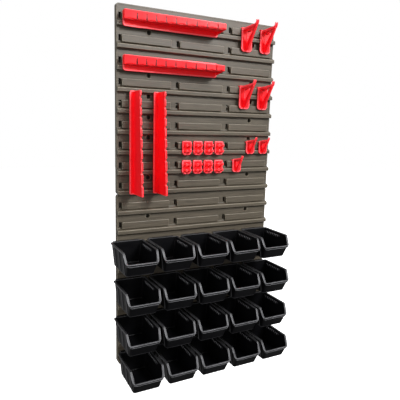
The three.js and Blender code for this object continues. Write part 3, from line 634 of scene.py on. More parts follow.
def bin_shell(wall, round_rim):
    """The bin as rings round its wall: from under the floor up the outside, over the rim and down
    inside to the floor. A ring at height z and offset d is the walk round the wall moved out by d,
    where the width and the depth shrink towards the floor."""
    share, depth, ox, oy = bin_walk()
    mouth = BIN_DEPTH - BIN_LIP_OVER
    far = mouth - BIN_CORNER
    reach = depth - BIN_CORNER * oy
    top = -BIN_DROP * soft_ramp((reach - (mouth - BIN_SLOPE)) / (0.88 * BIN_SLOPE))
    at_side = np.abs(ox)
    at_front = np.clip(-oy, 0, 1)
    at_back = np.clip(oy, 0, 1)
    band = BIN_BAND[0] + BIN_BAND[1] * at_front**2
    pitch, tick_depth, tick_drop, tick_foot = BIN_TICK
    ticked = (at_side > 0.99) & (reach > BIN_TICKS[0]) & (reach < BIN_TICKS[1])
    tick = np.cos(np.pi * (reach - BIN_TICKS[0]) / pitch) ** 8 * ticked
    top = top - 0.6 * tick
    # the slope and the front lip are painted light as highlights, and the level rims behind them hardly
    rubbed_and_highlit = (RIM_DARK + (1 - RIM_DARK) * np.clip(-top / RIM_FADE, 0, 1)) * (1 - 1.5 * tick)
    inside = -wall + 0 * top
    over = BIN_OVER * at_side**2 + BIN_LIP_OVER * at_front**2
    body = -0.3 * at_back
    ribs = np.zeros(len(reach))
    for start in BIN_RIBS:
        ribs = np.maximum(ribs, ((depth >= start + 0.45) & (depth <= start + BIN_RIB[0] - 0.45)))
    ribs = ribs * (at_side > 0.99) * BIN_RIB[1]

    def ring(offset, z):
        z = np.broadcast_to(z, len(share))
        half = BIN_WIDTH / 2 - BIN_OVER + z * BIN_TAPER / BIN_HEIGHT
        lean = BIN_LEAN * np.clip((-BIN_DROP - z) / (BIN_HEIGHT - BIN_DROP), 0, 1)
        squeeze = (far - lean - BIN_STRAIGHT) / (far - BIN_STRAIGHT)
        along = np.where(depth > BIN_STRAIGHT, BIN_STRAIGHT + (depth - BIN_STRAIGHT) * squeeze, depth)
        x = share * (half - BIN_CORNER) + (BIN_CORNER + offset) * ox
        return np.stack([x, -along + (BIN_CORNER + offset) * oy, z], 1)

    under = top - band
    a = np.radians([0, 30, 60, 90])
    rings, wear = [], []

    def add(offset, z, worn_and_painted_light=0.0):
        rings.append(ring(offset, z))
        wear.append(np.broadcast_to(worn_and_painted_light, len(share)))

    add(-BIN_FOOT - HOLD, -BIN_HEIGHT)
    # the foot's round edge is painted a little light as a highlight
    for angle in a:
        add(body - BIN_FOOT * (1 - np.sin(angle)), BIN_FOOT * (1 - np.cos(angle)) - BIN_HEIGHT, 0.3)
    low = BIN_FOOT + HOLD - BIN_HEIGHT
    add(body + 0.1 * ribs, low)
    # the upright ribs outside are painted light as highlights
    for t in (0.04, 0.3, 0.6, 0.93, 0.98):
        add(body + ribs, low + (under - low) * t, 0.5 * (ribs > 0))
    # painted shade under the rim
    add(body, under - 0.3, -0.6)
    add(body + 0.15 * (over - body), under, -0.6)
    add(over - 0.4 * (over - body), under)
    # the front lip's two ridges are painted light as highlights, and the groove between them dark as
    # shade
    ridge = 0.7 + 0.6 * at_front
    add(over, under + 0.4, ridge)
    for t, cut in ((0.18, 0), (0.26, 1), (0.62, 1), (0.72, 0)):
        add(over - cut * BIN_GROOVE * at_front**2, under + band * t, ridge - 2.3 * cut * at_front)
    # the round rim and its inner edge are painted light as highlights
    add(over, top - round_rim, 0.9 * rubbed_and_highlit)
    add(over - 0.3 * round_rim, top - 0.3 * round_rim, rubbed_and_highlit)
    add(over - round_rim, top, rubbed_and_highlit)
    add(over - round_rim - HOLD, top, 0.4 * rubbed_and_highlit)
    add(0.7 - wall, top, 0.4 * rubbed_and_highlit)
    add(0.2 - wall, top - 0.15, 0.9 * rubbed_and_highlit)
    add(inside, top - 0.7, 0.5)
    add(inside, top - 1.4)
    add(inside, top - tick_drop)
    # the heads of the short inner ribs are painted light as highlights
    add(inside - tick_depth * tick, top - tick_drop - 0.4, 2.0 * tick)
    add(inside - tick_depth * tick, top - tick_drop - 1.6, 1.6 * tick)
    add(inside - tick_depth * tick, top - tick_foot)
    below = top - tick_foot - 0.8
    add(inside, below)
    floor = wall - BIN_HEIGHT
    for t in (0.02, 0.3, 0.6, 0.97):
        add(inside, below + (floor + BIN_FOOT - below) * t)
    # painted shade in the round crease between the inner walls and the floor
    for angle in a:
        add(-wall - BIN_FOOT * (1 - np.cos(angle)), floor + BIN_FOOT * (1 - np.sin(angle)), -0.5)
    add(-wall - BIN_FOOT - HOLD, floor)
    return shell_of(np.stack(rings), np.stack(wear))


def bin_shells(wall, round_rim):
    hook = strip_hook(-BIN_HOOK / 2, BIN_HOOK / 2, BIN_ABOVE, BIN_TONGUE)
    return [bin_shell(wall, round_rim), hook]


# ------------------------------------------------------------------------------ long rack

RACK_LENGTH = 219.0
RACK_HEIGHT = 32.0
RACK_ABOVE = 3.5  # top of the strip to the rack's top
RACK_SHELF = (-20.5, -18.0)  # underside and top of the tray
RACK_DEPTH = (12.0, 36.0)  # plate to the front, at the left end and at the right
RACK_TOP = (-1.5, -8.0)  # head of the front, at the left end and at the right
RACK_WALL = 2.5
RACK_SLOTS = 9
RACK_SLOT = (2.4, 11.0)  # width and height
RACK_SLOT_FIRST = 25.5
RACK_SLOT_PITCH = 19.4
RACK_SLOT_GROWTH = 0.68  # each pitch is this much longer than the one before
RACK_SCALLOP = 2.4  # rise of the arches between the slots
RACK_HOOK = 150.0  # width of the neck and the tongue


def rack_front(x):
    near, far = RACK_DEPTH
    return -HOLDER - near - (far - near) * x / RACK_LENGTH


def rack_apron(edge):
    """The slanted front wall: an upright section, a rectangle with round corners, carried along its
    length. The section's foot follows a row of narrow slots with a low arch, half a sine wave,
    between neighbours."""
    slant = math.atan2(RACK_DEPTH[1] - RACK_DEPTH[0], RACK_LENGTH)
    length = (RACK_LENGTH - RACK_WALL * math.sin(slant)) / math.cos(slant)
    index = np.arange(RACK_SLOTS)
    slots = RACK_SLOT_FIRST + index * RACK_SLOT_PITCH + RACK_SLOT_GROWTH * index * (index - 1) / 2
    slots = slots / math.cos(slant)
    half, step = RACK_SLOT[0] / 2, 0.02
    starts = np.concatenate([[0.0], slots + half])[:, None]
    ends = np.concatenate([slots - half, [length]])[:, None]
    t = np.linspace(0, 1, 11)
    along = starts + (ends - starts) * t
    foot = RACK_SHELF[0] + RACK_SCALLOP * np.sin(np.pi * t) + 0 * along
    gap = np.stack([ends[:-1, 0] + step, starts[1:, 0] - step], 1)
    cut = np.full(gap.shape, RACK_SHELF[0] + RACK_SLOT[1])
    along = np.concatenate([np.concatenate([along[:-1], gap], 1).reshape(-1), along[-1]])
    foot = np.concatenate([np.concatenate([foot[:-1], cut], 1).reshape(-1), foot[-1]])
    head = RACK_TOP[0] + (RACK_TOP[1] - RACK_TOP[0]) * along / length
    shape, wear = rounded(rectangle(0, 0, RACK_WALL, 10), edge, 3)
    deep = np.broadcast_to(shape[:, 0], (len(along), len(shape)))
    low = shape[:, 1] < 5
    up = np.where(low, foot[:, None] + shape[:, 1], head[:, None] + shape[:, 1] - 10)
    x = along[:, None] * math.cos(slant) + deep * math.sin(slant)
    y = rack_front(0) - along[:, None] * math.sin(slant) + deep * math.cos(slant)
    # shade painted into the slots and along their edges, fading out upwards
    slot_shade = np.minimum.reduce([foot * 0, *(PAINTED_DEEP_SHADE * (np.abs(along - a) < RACK_SLOT[0]) for a in slots)])
    return shell_of(np.stack([x, y, up], -1), np.where(low, np.minimum(slot_shade[:, None], wear), wear))


def rack_shells(edge):
    root = -HOLDER / 2
    shelf = [(0.2, root), (0.2, rack_front(0) + 2), (RACK_LENGTH - 0.2, rack_front(RACK_LENGTH) + 2)]
    shelf.append((RACK_LENGTH - 0.2, root))
    left = rectangle(root, RACK_SHELF[0], rack_front(0) + 1, RACK_TOP[0])
    right = [
        (root, RACK_SHELF[0] - 6),
        (rack_front(RACK_LENGTH) + 1, RACK_SHELF[0]),
        (rack_front(RACK_LENGTH) + 1, RACK_TOP[1]),
        (root, RACK_TOP[0]),
    ]
    start = (RACK_LENGTH - RACK_HOOK) / 2
    tray = prism(shelf, "z", *RACK_SHELF, 0.5, 1.0)
    # a thin dark sheet on the wall behind the slots paints the shade there, so that the slots read as
    # dark lines
    shade_sheet = rectangle(RACK_WALL + 1, RACK_SHELF[1] - 1, RACK_LENGTH - RACK_WALL - 1, RACK_TOP[0] - 2)
    shade_sheet = prism(shade_sheet, "y", 0.5 - HOLDER, 1.4 - HOLDER, 0.1, 0.4)
    # the tray's front edge, behind the slots, and its underside are painted darker as shade
    shaded_underside = (tray.points[:, 2] < RACK_SHELF[1] - 0.3) & (tray.points[:, 1] < root - 1)
    return [
        back_plate(0, -RACK_HEIGHT, RACK_LENGTH, 0, 6, 3, edge),
        tray._replace(wear=np.where(shaded_underside, -0.35, 0)),
        shade_sheet._replace(wear=np.full(len(shade_sheet.points), PAINTED_DEEP_SHADE)),
        rack_apron(0.9 * edge),
        prism(left, "x", 0.1, RACK_WALL, 0.6 * edge, 0.5),
        prism(right, "x", RACK_LENGTH - RACK_WALL, RACK_LENGTH - 0.1, 0.6 * edge, 0.5),
        strip_hook(start, start + RACK_HOOK, RACK_ABOVE, 5.0),
    ]


# ------------------------------------------------------------------------------ notched comb

COMB_WIDTH = 22.0
COMB_LENGTH = 219.0
COMB_ABOVE = 19.7  # top of the strip to the comb's top
COMB_DEPTH = (36.0, 52.0)  # plate to the front, at the top and at the foot
COMB_WEB = 3.0
COMB_BEAD = (4.0, 5.0)  # a tooth's thickness and depth
COMB_NOTCHES = 9
COMB_NOTCH = (6.0, 4.5, 4.0, 4.0)  # mouth, depth, root, slant
COMB_NOTCH_FIRST = 13.0
COMB_NOTCH_PITCH = 19.0
COMB_NOTCH_GROWTH = 0.95  # each pitch is this much longer than the one before


def comb_front(z):
    top, foot = COMB_DEPTH
    return -HOLDER - top - (foot - top) * -z / COMB_LENGTH


def comb_shells(edge):
    """A back plate, a web square to it whose front edge has slanting notches, and a thick round
    tooth on the web's edge between each two notches."""
    index = np.arange(COMB_NOTCHES)
    drop = COMB_NOTCH_FIRST + index * COMB_NOTCH_PITCH + COMB_NOTCH_GROWTH * index * (index - 1) / 2
    mouth, deep, root, slant = COMB_NOTCH
    head = -drop + mouth / 2
    front = comb_front(-drop)
    notches = np.stack(
        [
            np.stack([comb_front(head), head], 1),
            np.stack([front + deep, head - slant], 1),
            np.stack([front + deep, head - slant - root], 1),
            np.stack([comb_front(head - mouth), head - mouth], 1),
        ],
        1,
    )
    back = -HOLDER / 2
    line = [[(back, -0.5), (comb_front(0), -0.5)], notches.reshape(-1, 2)]
    line.append([(comb_front(-COMB_LENGTH), 1.5 - COMB_LENGTH), (back, 0.5 - COMB_LENGTH)])
    radii = [0.5, 4.0] + [2.0, 1.8, 1.8, 1.2] * COMB_NOTCHES + [2.5, 0.5]
    web = prism(np.concatenate(line), "x", -COMB_WEB / 2, COMB_WEB / 2, 0.6 * edge, radii)
    half = COMB_WIDTH / 2
    shells = [
        back_plate(-half, -COMB_LENGTH, half, 0, 4, 4, edge),
        web,
        strip_hook(4 - half, half - 4, COMB_ABOVE, 5.0),
    ]
    tops = np.concatenate([[-1.0], head - mouth])
    feet = np.concatenate([head, [2.0 - COMB_LENGTH]])
    slants = np.full(COMB_NOTCHES + 1, slant)
    slants[0] = 0  # the outer end of the first and of the last tooth is square
    wide = COMB_BEAD[0] / 2
    for top, foot, above, below in zip(tops, feet, slants, slants[::-1]):
        tooth = [
            (comb_front(top), top),
            (comb_front(foot), foot),
            (comb_front(foot) + COMB_BEAD[1], foot - below),
            (comb_front(top) + COMB_BEAD[1], top - above),
        ]
        shells.append(prism(tooth, "x", -wide, wide, 1.3, (1.6, 1.6, 0.6, 0.6)))
    return shells


# ------------------------------------------------------------------------------ double fork clip

FORK_ABOVE = 3.0  # top of the strip to the clip's top
FORK_TOPS = (-8.5, -21.5)
FORK_THICK = 3.2
FORK_BRACES = (6.0, 3.0)  # height of the brace under each fork
FORK_REACH = 12.0
FORK_HALF = 7.0  # half a fork's width
FORK_SLOT = 3.0  # half the slot's width
FORK_ROOT = 3.5  # plate to the slot's end
FORK_TIP = 2.8  # length and rise of a tine's upturned end
FORK_HOOK = 7.0  # half the width of the neck and the tongue


def fork_shells(width, height, edge):
    """A back plate with two forks, one above the other. Each fork is a thick U seen from above, with
    an upturned end on each tine and a brace below it."""
    half = width / 2
    shells = [
        back_plate(-half, -height, half, 0, 8, 2.5, edge),
        strip_hook(-FORK_HOOK, FORK_HOOK, FORK_ABOVE, 5.0),
    ]
    tip = -HOLDER - FORK_REACH
    root = -HOLDER - FORK_ROOT
    plan = [
        (-FORK_HALF, -1.5),
        (-FORK_HALF, tip),
        (-FORK_SLOT, tip),
        (-FORK_SLOT, root),
        (FORK_SLOT, root),
        (FORK_SLOT, tip),
        (FORK_HALF, tip),
        (FORK_HALF, -1.5),
    ]
    for top, brace in zip(FORK_TOPS, FORK_BRACES):
        low = top - FORK_THICK
        shells.append(prism(plan, "z", low, top, 0.8, (0.3, 1.8, 1.8, 2.8, 2.8, 1.8, 1.8, 0.3)))
        inner = tip + FORK_TIP
        side = [(-1.5, top - 1), (-1.5, low - brace), (inner, low + 0.3), (inner, top - 1)]
        for x in (-FORK_HALF, FORK_SLOT):
            x1 = x + FORK_HALF - FORK_SLOT
            shells.append(prism(side, "x", x + 0.2, x1 - 0.2, 0.7, 0.4))
            end = rectangle(x + 0.1, tip + 0.1, x1 - 0.1, inner)
            shells.append(prism(end, "z", low + 0.6, top + FORK_TIP, 1.2, 1.2))
    return shells


# ------------------------------------------------------------------------------ triangular hooks

Hook = namedtuple("Hook", "width height reach rise bar strut tip above")
LARGE_HOOK = Hook(29.0, 52.0, 41.0, 13.0, 5.0, 5.6, 7.0, 1.0)
SMALL_HOOK = Hook(24.0, 32.0, 24.0, 9.0, 4.0, 3.2, 4.5, 5.0)
HOOK_WEB = 4.0
HOOK_CURL = 0.6  # share of the rise that the upturned tip takes
HOOK_SOLE = 0.18  # share of the reach that the web's foot takes
HOOK_SPINE = 0.25  # share of a strut's width between the plate and the open triangle
HOOK_WINDOW = 0.6  # share of the height that the open triangle reaches down to


def hook_arm(size):
    """The arm: a bar that climbs straight from the plate and then turns up to its tip along a
    parabola, narrower and thinner towards the tip, whose last rings close like a dome."""
    nose = -HOLDER - size.reach
    shoulder = size.rise * (1 - HOOK_CURL)
    thin = size.bar / 4
    start = np.array([-HOLDER / 2, -size.bar / 2])
    bend = np.array([nose + 1.7 * size.bar, shoulder - size.bar / 2])
    elbow = np.array([nose + thin + 0.3, shoulder - size.bar / 4])
    end = np.array([nose + thin, size.rise - thin])
    t = np.linspace(0, 1, 9)[:, None]
    a = np.radians([0, 25, 50, 70, 85])
    climb = start + (bend - start) * t[:-1]
    curl = bend * (1 - t) ** 2 + 2 * elbow * t * (1 - t) + end * t**2
    path = np.concatenate([climb, curl[:-1], end + np.sin(a)[:, None] * [0, thin]])
    along = (path[:, 0] - start[0]) / (nose - start[0])
    wide = size.width / 2 - 2 + (size.tip / 2 - size.width / 2 + 2) * along
    turned = np.concatenate([np.zeros(len(climb)), t[:-1, 0], np.ones(len(a))])
    thick = size.bar / 2 + (thin - size.bar / 2) * turned
    shut = np.concatenate([np.ones(len(path) - len(a)), np.cos(a)])
    return lofted(path, wide - thin * (1 - shut), thick * shut, 0.9 * thick * shut)


def hook_shells(size, edge):
    """A back plate, an arm with an upturned tip, and under it a four-sided web with an open triangle.
    The triangle's corners lie inside the web's sides by the strut or by part of it."""
    nose = -HOLDER - size.reach
    shoulder = size.rise * (1 - HOOK_CURL)
    foot = -size.height + 0.6 * size.bar
    sole = -HOLDER - HOOK_SOLE * size.reach
    under = shoulder - 0.7 * size.bar
    outer = [(-1.5, -size.bar / 2), (-1.5, foot), (sole, foot), (nose + 0.4 * size.bar, under)]
    front, back = nose + 1.3 * size.bar, -HOLDER - HOOK_SPINE * size.strut
    drop = size.bar + 0.25 * size.strut
    high, low = (back, -drop), (back, -HOOK_WINDOW * size.height)
    tip = (front + 0.9 * size.strut, shoulder - drop + 0.1 * size.strut)
    inner = [high, low, (low[0] - 0.6, low[1]), tip]
    half = size.width / 2
    return [
        back_plate(-half, -size.height, half, 0, 0.3 * size.width, 2, edge),
        framed_prism(outer, inner, "x", -HOOK_WEB / 2, HOOK_WEB / 2, 0.7, (1.2, 0.9)),
        hook_arm(size),
        strip_hook(2 - half, half - 2, size.above, 5.0),
    ]


# ------------------------------------------------------------------------------ materials


def linear(code):
    """An sRGB hex colour as linear red, green, blue and full alpha."""
    c = np.array([int(code[i : i + 2], 16) for i in (0, 2, 4)]) / 255
    c = np.where(c <= 0.04045, c / 12.92, ((c + 0.055) / 1.055) ** 2.4)
    return (*c.tolist(), 1.0)


def add_node(tree, kind, inputs=(), **settings):
    """Adds a node, gives it its settings, and sets or links each of its named inputs."""
    node = tree.nodes.new(kind)
    for key, value in settings.items():
        setattr(node, key, value)
    for key, value in dict(inputs).items():
        if isinstance(value, bpy.types.NodeSocket):
            tree.links.new(value, node.inputs[key])
        else:
            node.inputs[key].default_value = value
    return node


def moulded_plastic(
    name, colour, worn_and_painted_light, shaded, roughness, grain_mm, grain_depth_mm, streak_mm, patches, gloss
):
    """Injection-moulded plastic. Wide faint patches of colour and gloss come from the melt's flow and a
    fine grain from the tool's etched face. Edges are painted light, partly as rubbing from use and
    partly as highlight, and hollows, slots and undersides are painted dark as shade."""
    material = bpy.data.materials.new(name)
    material.use_nodes = True
    tree = material.node_tree
    tree.nodes.clear()
    where = add_node(tree, "ShaderNodeTexCoord").outputs["Object"]
    flow_scale = tuple(1 / (size * MM) for size in streak_mm)
    flow = add_node(tree, "ShaderNodeMapping", {"Vector": where, "Scale": flow_scale})
    drifting = {"Vector": flow.outputs[0], "Scale": 1.0, "Detail": 5.0, "Roughness": 0.65}
    cloud = add_node(tree, "ShaderNodeTexNoise", drifting).outputs[0]
    grain = add_node(
        tree, "ShaderNodeTexNoise", {"Vector": where, "Scale": 1 / (grain_mm * MM), "Detail": 3.0}
    ).outputs[0]
    wear = add_node(tree, "ShaderNodeAttribute", attribute_name="wear").outputs["Fac"]
    # edges painted light, partly as rubbing from use and partly as highlight
    rubbed_and_highlit = add_node(
        tree, "ShaderNodeMath", {0: wear, 1: cloud}, operation="MULTIPLY", use_clamp=True
    ).outputs[0]
    # painted shade in hollows, slots and undersides
    painted_shade_share = add_node(
        tree, "ShaderNodeMath", {0: wear, 1: -0.8}, operation="MULTIPLY", use_clamp=True
    ).outputs[0]
    spread = {"From Min": 0.3, "From Max": 0.7}  # a noise hardly leaves this range
    patchy = {"Value": cloud, "To Min": 1 - patches, "To Max": 1 + patches, **spread}
    patch = add_node(tree, "ShaderNodeMapRange", patchy).outputs[0]
    specked = {"Value": grain, "To Min": 0.93, "To Max": 1.07, **spread}
    speck = add_node(tree, "ShaderNodeMapRange", specked).outputs[0]
    shade = add_node(tree, "ShaderNodeMath", {0: patch, 1: speck}, operation="MULTIPLY").outputs[0]
    flecked = add_node(
        tree, "ShaderNodeVectorMath", {0: colour[:3], "Scale": shade}, operation="SCALE"
    ).outputs[0]
    lit = add_node(tree, "ShaderNodeMix", {0: rubbed_and_highlit, 6: flecked, 7: worn_and_painted_light}, data_type="RGBA").outputs[2]
    base = add_node(tree, "ShaderNodeMix", {0: painted_shade_share, 6: lit, 7: shaded}, data_type="RGBA").outputs[2]
    matted = {"Value": cloud, "To Min": roughness - 0.05, "To Max": roughness + 0.07, **spread}
    matt = add_node(tree, "ShaderNodeMapRange", matted).outputs[0]
    etched = {"Height": grain, "Strength": 0.6, "Distance": grain_depth_mm * MM}
    bump = add_node(tree, "ShaderNodeBump", etched).outputs[0]
    surface = {
        "Base Color": base,
        "Roughness": matt,
        "IOR": 1.49,
        "Specular IOR Level": gloss,
        "Normal": bump,
    }
    shader = add_node(tree, "ShaderNodeBsdfPrincipled", surface).outputs[0]
    add_node(tree, "ShaderNodeOutputMaterial", {"Surface": shader})
    return material


# ------------------------------------------------------------------------------ settings

PLATE_LOW, PLATE_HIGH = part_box("upper_plate")


def length_setting(name, description, default, low, high):
    return FloatProperty(
        name=name,
        description=description,
        default=default,
        min=low,
        max=high,
        precision=5,
        subtype="DISTANCE",
        unit="LENGTH",
    )


def colour_setting(name, description, code):
    return FloatVectorProperty(
        name=name, description=description, default=linear(code), size=4, min=0, max=1, subtype="COLOR"
    )


class ToolWallPlates(bpy.types.PropertyGroup):
    """Sizes and colours of the two rail plates"""

    width: length_setting("Width", "Width of a plate", PLATE_HIGH.x - PLATE_LOW.x, 0.2, 1.0)
    height: length_setting("Height", "Height of a plate", PLATE_HIGH.z - PLATE_LOW.z, 0.2, 1.0)
    edge: length_setting("Edge radius", "Radius of the moulded outer edges", 1.0 * MM, 0.3 * MM, 1.4 * MM)
    colour: colour_setting("Colour", "Colour of the moulded plastic", "494237")
    # lighter colour painted on the edges, partly as rubbing from use and partly as highlight
    worn_and_painted_light: colour_setting("Edge colour", "Colour of rubbed edges", "8C8572")


class ToolWallBins(bpy.types.PropertyGroup):
    """Sizes and colours of the stacking bins"""

    wall: length_setting("Wall", "Thickness of the walls", 2.0 * MM, 1.6 * MM, 2.2 * MM)
    rim: length_setting("Rim radius", "Radius of the rim's outer edge", 0.8 * MM, 0.3 * MM, 0.9 * MM)
    colour: colour_setting("Colour", "Colour of the moulded plastic", "08080A")
    # colour of the light lines painted on the rims as highlights
    worn_and_painted_light: colour_setting("Edge colour", "Colour of rubbed edges", "98989C")


class ToolWallHolders(bpy.types.PropertyGroup):
    """Sizes and colours of the racks, combs, forks and hooks"""

    edge: length_setting("Edge radius", "Radius of the moulded outer edges", 0.9 * MM, 0.3 * MM, 1.2 * MM)
    colour: colour_setting("Colour", "Colour of the moulded plastic", "FB0315")
    # pink painted on the rounded edges as highlights
    worn_and_painted_light: colour_setting("Edge colour", "Colour of rubbed edges", "FF7A84")


class ToolWallStage(bpy.types.PropertyGroup):
    """Floor of the stage"""

    drop: length_setting("Floor drop", "Space between the wall's foot and the floor", 0.25, 0.05, 2.0)
    floor: colour_setting("Floor colour", "Colour of the floor", "F4F4F4")


# ------------------------------------------------------------------------------ pieces


def settings(context, group):
    return getattr(context.scene, "tool_wall_" + group)


def seat(node):
    """Where a holder's frame is: the middle across, the back of its plate and its box's top, in mm."""
    low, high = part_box(node)
    return (low.x + high.x) / 2 / MM, high.y / MM - TONGUE_BACK, high.z / MM


def nodes_named(start):
    found = sorted(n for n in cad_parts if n.startswith(start))
    if not found:
        raise RuntimeError(f"the frame has no node whose name starts with {start!r}")
    return found


def hang(context, start, name, shells, material, shift=(0, 0, 0)):
    """One object for each node of a kind: the kind's shells, moved to the node's seat."""
    for node in nodes_named(start):
        place = np.array(seat(node)) + shift
        piece(node.replace(start, name), moved(shells, place), material, node, node)


def holder_plastic(context):
    """Polypropylene, moulded glossy and dyed through. It reads as a saturated, wet-looking red whose
    rounded edges are painted pink as highlights."""
    name = "polypropylene_moulded_gloss_red"
    if name in bpy.data.materials:
        return bpy.data.materials[name]
    own = settings(context, "holders")
    return moulded_plastic(
        name,
        own.colour,
        own.worn_and_painted_light,
        linear("6E0410"),
        roughness=0.32,
        grain_mm=0.9,
        grain_depth_mm=0.012,
        streak_mm=(40.0, 40.0, 40.0),
        patches=0.05,
        gloss=0.5,
    )


class TOOLWALL_OT_plates(bpy.types.Operator):
    """Builds the two rail plates"""

    bl_idname = "toolwall.plates"
    bl_label = "Rail plates"

    def execute(self, context):
        own = settings(context, "plates")
        shells = plate_shells(own.width / MM, own.height / MM, own.edge / MM)
        # Polypropylene from an etched mould: a satin grey-brown with a fine grain, and pale edges painted
        # partly as rubbing from use and partly as highlight.
        plastic = moulded_plastic(
            "polypropylene_moulded_satin_taupe",
            own.colour,
            own.worn_and_painted_light,
            linear("2E2B26"),
            roughness=0.46,
            grain_mm=1.1,
            grain_depth_mm=0.03,
            streak_mm=(50.0, 20.0, 2.2),
            patches=0.32,
            gloss=0.5,
        )
        for node in ("upper_plate", "lower_plate"):
            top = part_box(node)[1].z / MM
            piece(node + "_moulding", moved(shells, (0, 0, top)), plastic, "plates", node)
        return {"FINISHED"}


class TOOLWALL_OT_bins(bpy.types.Operator):
    """Builds the bins that hang from the lower plate"""

    bl_idname = "toolwall.bins"
    bl_label = "Bins"

    def execute(self, context):
        own = settings(context, "bins")
        # Polystyrene, moulded half gloss: near black, with light lines painted on the round rims as
        # highlights.
        plastic = moulded_plastic(
            "polystyrene_moulded_semi_gloss_black",
            own.colour,
            own.worn_and_painted_light,
            linear("050506"),
            roughness=0.38,
            grain_mm=0.8,
            grain_depth_mm=0.015,
            streak_mm=(30.0, 30.0, 12.0),
            patches=0.12,
            gloss=0.16,
        )
        hang(context, "bin_", "bin_shell_", bin_shells(own.wall / MM, own.rim / MM), plastic)
        return {"FINISHED"}


class TOOLWALL_OT_racks(bpy.types.Operator):
    """Builds the long slotted racks"""

    bl_idname = "toolwall.racks"
    bl_label = "Long racks"

    def execute(self, context):
        shells = rack_shells(settings(context, "holders").edge / MM)
        start = (-RACK_LENGTH / 2, 0, 0)
        hang(context, "long_rack_", "rack_moulding_", shells, holder_plastic(context), start)
        return {"FINISHED"}


class TOOLWALL_OT_combs(bpy.types.Operator):
    """Builds the upright notched combs"""

    bl_idname = "toolwall.combs"
    bl_label = "Combs"

    def execute(self, context):
        shells = comb_shells(settings(context, "holders").edge / MM)
        hang(context, "wrench_comb_", "comb_moulding_", shells, holder_plastic(context))
        return {"FINISHED"}


class TOOLWALL_OT_forks(bpy.types.Operator):
    """Builds the double fork clips"""

    bl_idname = "toolwall.forks"
    bl_label = "Fork clips"

    def execute(self, context):
        low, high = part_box(nodes_named("fork_clip_")[0])
        size = (high - low) / MM
        shells = fork_shells(size.x, size.z, settings(context, "holders").edge / MM)
        hang(context, "fork_clip_", "fork_moulding_", shells, holder_plastic(context))
        return {"FINISHED"}


class TOOLWALL_OT_hooks(bpy.types.Operator):
    """Builds the large and the small triangular hooks"""

    bl_idname = "toolwall.hooks"
    bl_label = "Hooks"

    def execute(self, context):
        edge = settings(context, "holders").edge / MM
        for start, size in (("large_hook_", LARGE_HOOK), ("small_hook_", SMALL_HOOK)):
            name = start.replace("hook", "hook_moulding")
            tip = (0, 0, -size.rise)
            hang(context, start, name, hook_shells(size, edge), holder_plastic(context), tip)
        return {"FINISHED"}


# ------------------------------------------------------------------------------ stage

CAMERA_PLACE = (-0.47307, -0.92606, -0.0416)
CAMERA_YAW, CAMERA_PITCH, CAMERA_ROLL = 0.4833, 0.1686, 0.0274  # radians, to the right, down, over
CAMERA_LENS = 39.9  # millimetres, on a sensor 36 mm wide
FLOOR_SIZE = 14.0

# name, place, size in metres, power in watts, point that it faces
LIGHTS = (
    ("key", (1.0, -2.1, 1.4), 0.8, 100.0, (0.0, 0.0, -0.2)),
    ("fill", (-1.9, -1.5, 0.4), 1.4, 28.0, (0.0, 0.0, -0.25)),
    ("top", (0.2, -0.8, 1.7), 1.0, 12.0, (0.0, 0.0, -0.2)),
)


def camera_matrix():
    """The camera looks along a direction turned right by the yaw and down by the pitch, and its
    right and up directions are turned about that by the roll."""
    sy, cy = math.sin(CAMERA_YAW), math.cos(CAMERA_YAW)
    sp, cp = math.sin(CAMERA_PITCH), math.cos(CAMERA_PITCH)
    ahead = Vector((sy * cp, cy * cp, -sp))
    right = Vector((cy, -sy, 0))
    up = right.cross(ahead)
    sr, cr = math.sin(CAMERA_ROLL), math.cos(CAMERA_ROLL)
    turned = Matrix((cr * right + sr * up, cr * up - sr * right, -ahead)).transposed()
    return Matrix.Translation(CAMERA_PLACE) @ turned.to_4x4()


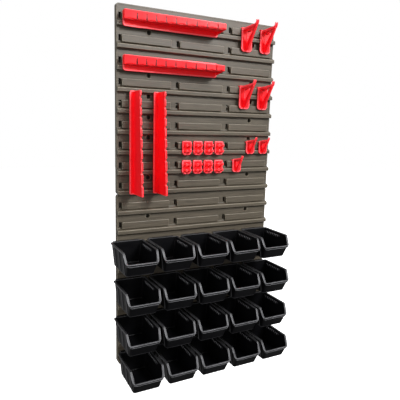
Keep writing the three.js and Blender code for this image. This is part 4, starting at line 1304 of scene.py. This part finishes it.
class TOOLWALL_OT_stage(bpy.types.Operator):
    """Adds the floor, the lights, the white surroundings and the camera"""

    bl_idname = "toolwall.stage"
    bl_label = "Stage"

    def execute(self, context):
        own = settings(context, "stage")
        scene = context.scene
        scene.view_settings.view_transform = "Standard"
        scene.view_settings.look = "None"

        half = FLOOR_SIZE / 2
        low = CAD_BOX[0].z - own.drop
        mesh = bpy.data.meshes.new("floor")
        corners = [(-half, -half, low), (half, -half, low), (half, half, low), (-half, half, low)]
        mesh.from_pydata(corners, [], [(0, 1, 2, 3)])
        floor = bpy.data.objects.new("floor", mesh)
        scene.collection.objects.link(floor)
        # Painted board, matt and pale. Its own glow keeps it as light as the air behind it.
        paint = bpy.data.materials.new("board_painted_matt_white")
        paint.use_nodes = True
        shader = paint.node_tree.nodes["Principled BSDF"]
        shader.inputs["Base Color"].default_value = own.floor
        shader.inputs["Roughness"].default_value = 0.9
        shader.inputs["Emission Color"].default_value = own.floor
        shader.inputs["Emission Strength"].default_value = 1.0
        mesh.materials.append(paint)
        floor.visible_diffuse = floor.visible_glossy = False  # its light would fill the undersides

        world = bpy.data.worlds.new("studio")
        scene.world = world
        world.use_nodes = True
        tree = world.node_tree
        tree.nodes.clear()
        straight = add_node(tree, "ShaderNodeLightPath").outputs["Is Camera Ray"]
        where = add_node(tree, "ShaderNodeTexCoord").outputs["Generated"]
        height = add_node(tree, "ShaderNodeSeparateXYZ", {0: where}).outputs["Z"]
        room = {"Value": height, "From Min": -1.0, "To Min": 0.12, "To Max": 0.62}
        dome = add_node(tree, "ShaderNodeMapRange", room).outputs[0]
        shown = {"Value": straight, "To Min": dome, "To Max": 1.0}
        strength = add_node(tree, "ShaderNodeMapRange", shown).outputs[0]
        air = {"Color": (1.0, 1.0, 1.0, 1.0), "Strength": strength}
        surface = add_node(tree, "ShaderNodeBackground", air).outputs[0]
        add_node(tree, "ShaderNodeOutputWorld", {"Surface": surface})

        for name, place, size, power, target in LIGHTS:
            light = bpy.data.lights.new(name, "AREA")
            light.size, light.energy = size, power
            lamp = bpy.data.objects.new(name, light)
            lamp.location = place
            lamp.rotation_mode = "QUATERNION"
            lamp.rotation_quaternion = (Vector(target) - Vector(place)).to_track_quat("-Z", "Y")
            scene.collection.objects.link(lamp)

        lens = bpy.data.cameras.new("camera")
        lens.sensor_width, lens.lens = 36.0, CAMERA_LENS
        camera = bpy.data.objects.new("camera", lens)
        camera.matrix_world = camera_matrix()
        scene.collection.objects.link(camera)
        scene.camera = camera
        return {"FINISHED"}


GROUPS = {
    "plates": ToolWallPlates,
    "bins": ToolWallBins,
    "holders": ToolWallHolders,
    "stage": ToolWallStage,
}

OPERATORS = (
    TOOLWALL_OT_plates,
    TOOLWALL_OT_bins,
    TOOLWALL_OT_racks,
    TOOLWALL_OT_combs,
    TOOLWALL_OT_forks,
    TOOLWALL_OT_hooks,
    TOOLWALL_OT_stage,
)


class TOOLWALL_PT_panel(bpy.types.Panel):
    """Lists the pieces of the tool wall with their sizes and colours"""

    bl_idname = "TOOLWALL_PT_panel"
    bl_label = "Tool Wall"
    bl_space_type = "VIEW_3D"
    bl_region_type = "UI"
    bl_category = "Tool Wall"

    def draw(self, context):
        for group, kind in GROUPS.items():
            box = self.layout.box()
            box.label(text=group.capitalize())
            for name in kind.__annotations__:
                box.prop(settings(context, group), name)
        for operator in OPERATORS:
            self.layout.operator(operator.bl_idname)


def register():
    for kind in (*GROUPS.values(), *OPERATORS, TOOLWALL_PT_panel):
        bpy.utils.register_class(kind)
    for group, kind in GROUPS.items():
        setattr(bpy.types.Scene, "tool_wall_" + group, PointerProperty(type=kind))


def unregister():
    for group in GROUPS:
        delattr(bpy.types.Scene, "tool_wall_" + group)
    for kind in (TOOLWALL_PT_panel, *reversed(OPERATORS), *GROUPS.values()):
        bpy.utils.unregister_class(kind)


def main():
    register()
    for operator in OPERATORS:
        family, name = operator.bl_idname.split(".")
        getattr(getattr(bpy.ops, family), name)()


if __name__ == "__main__":
    main()
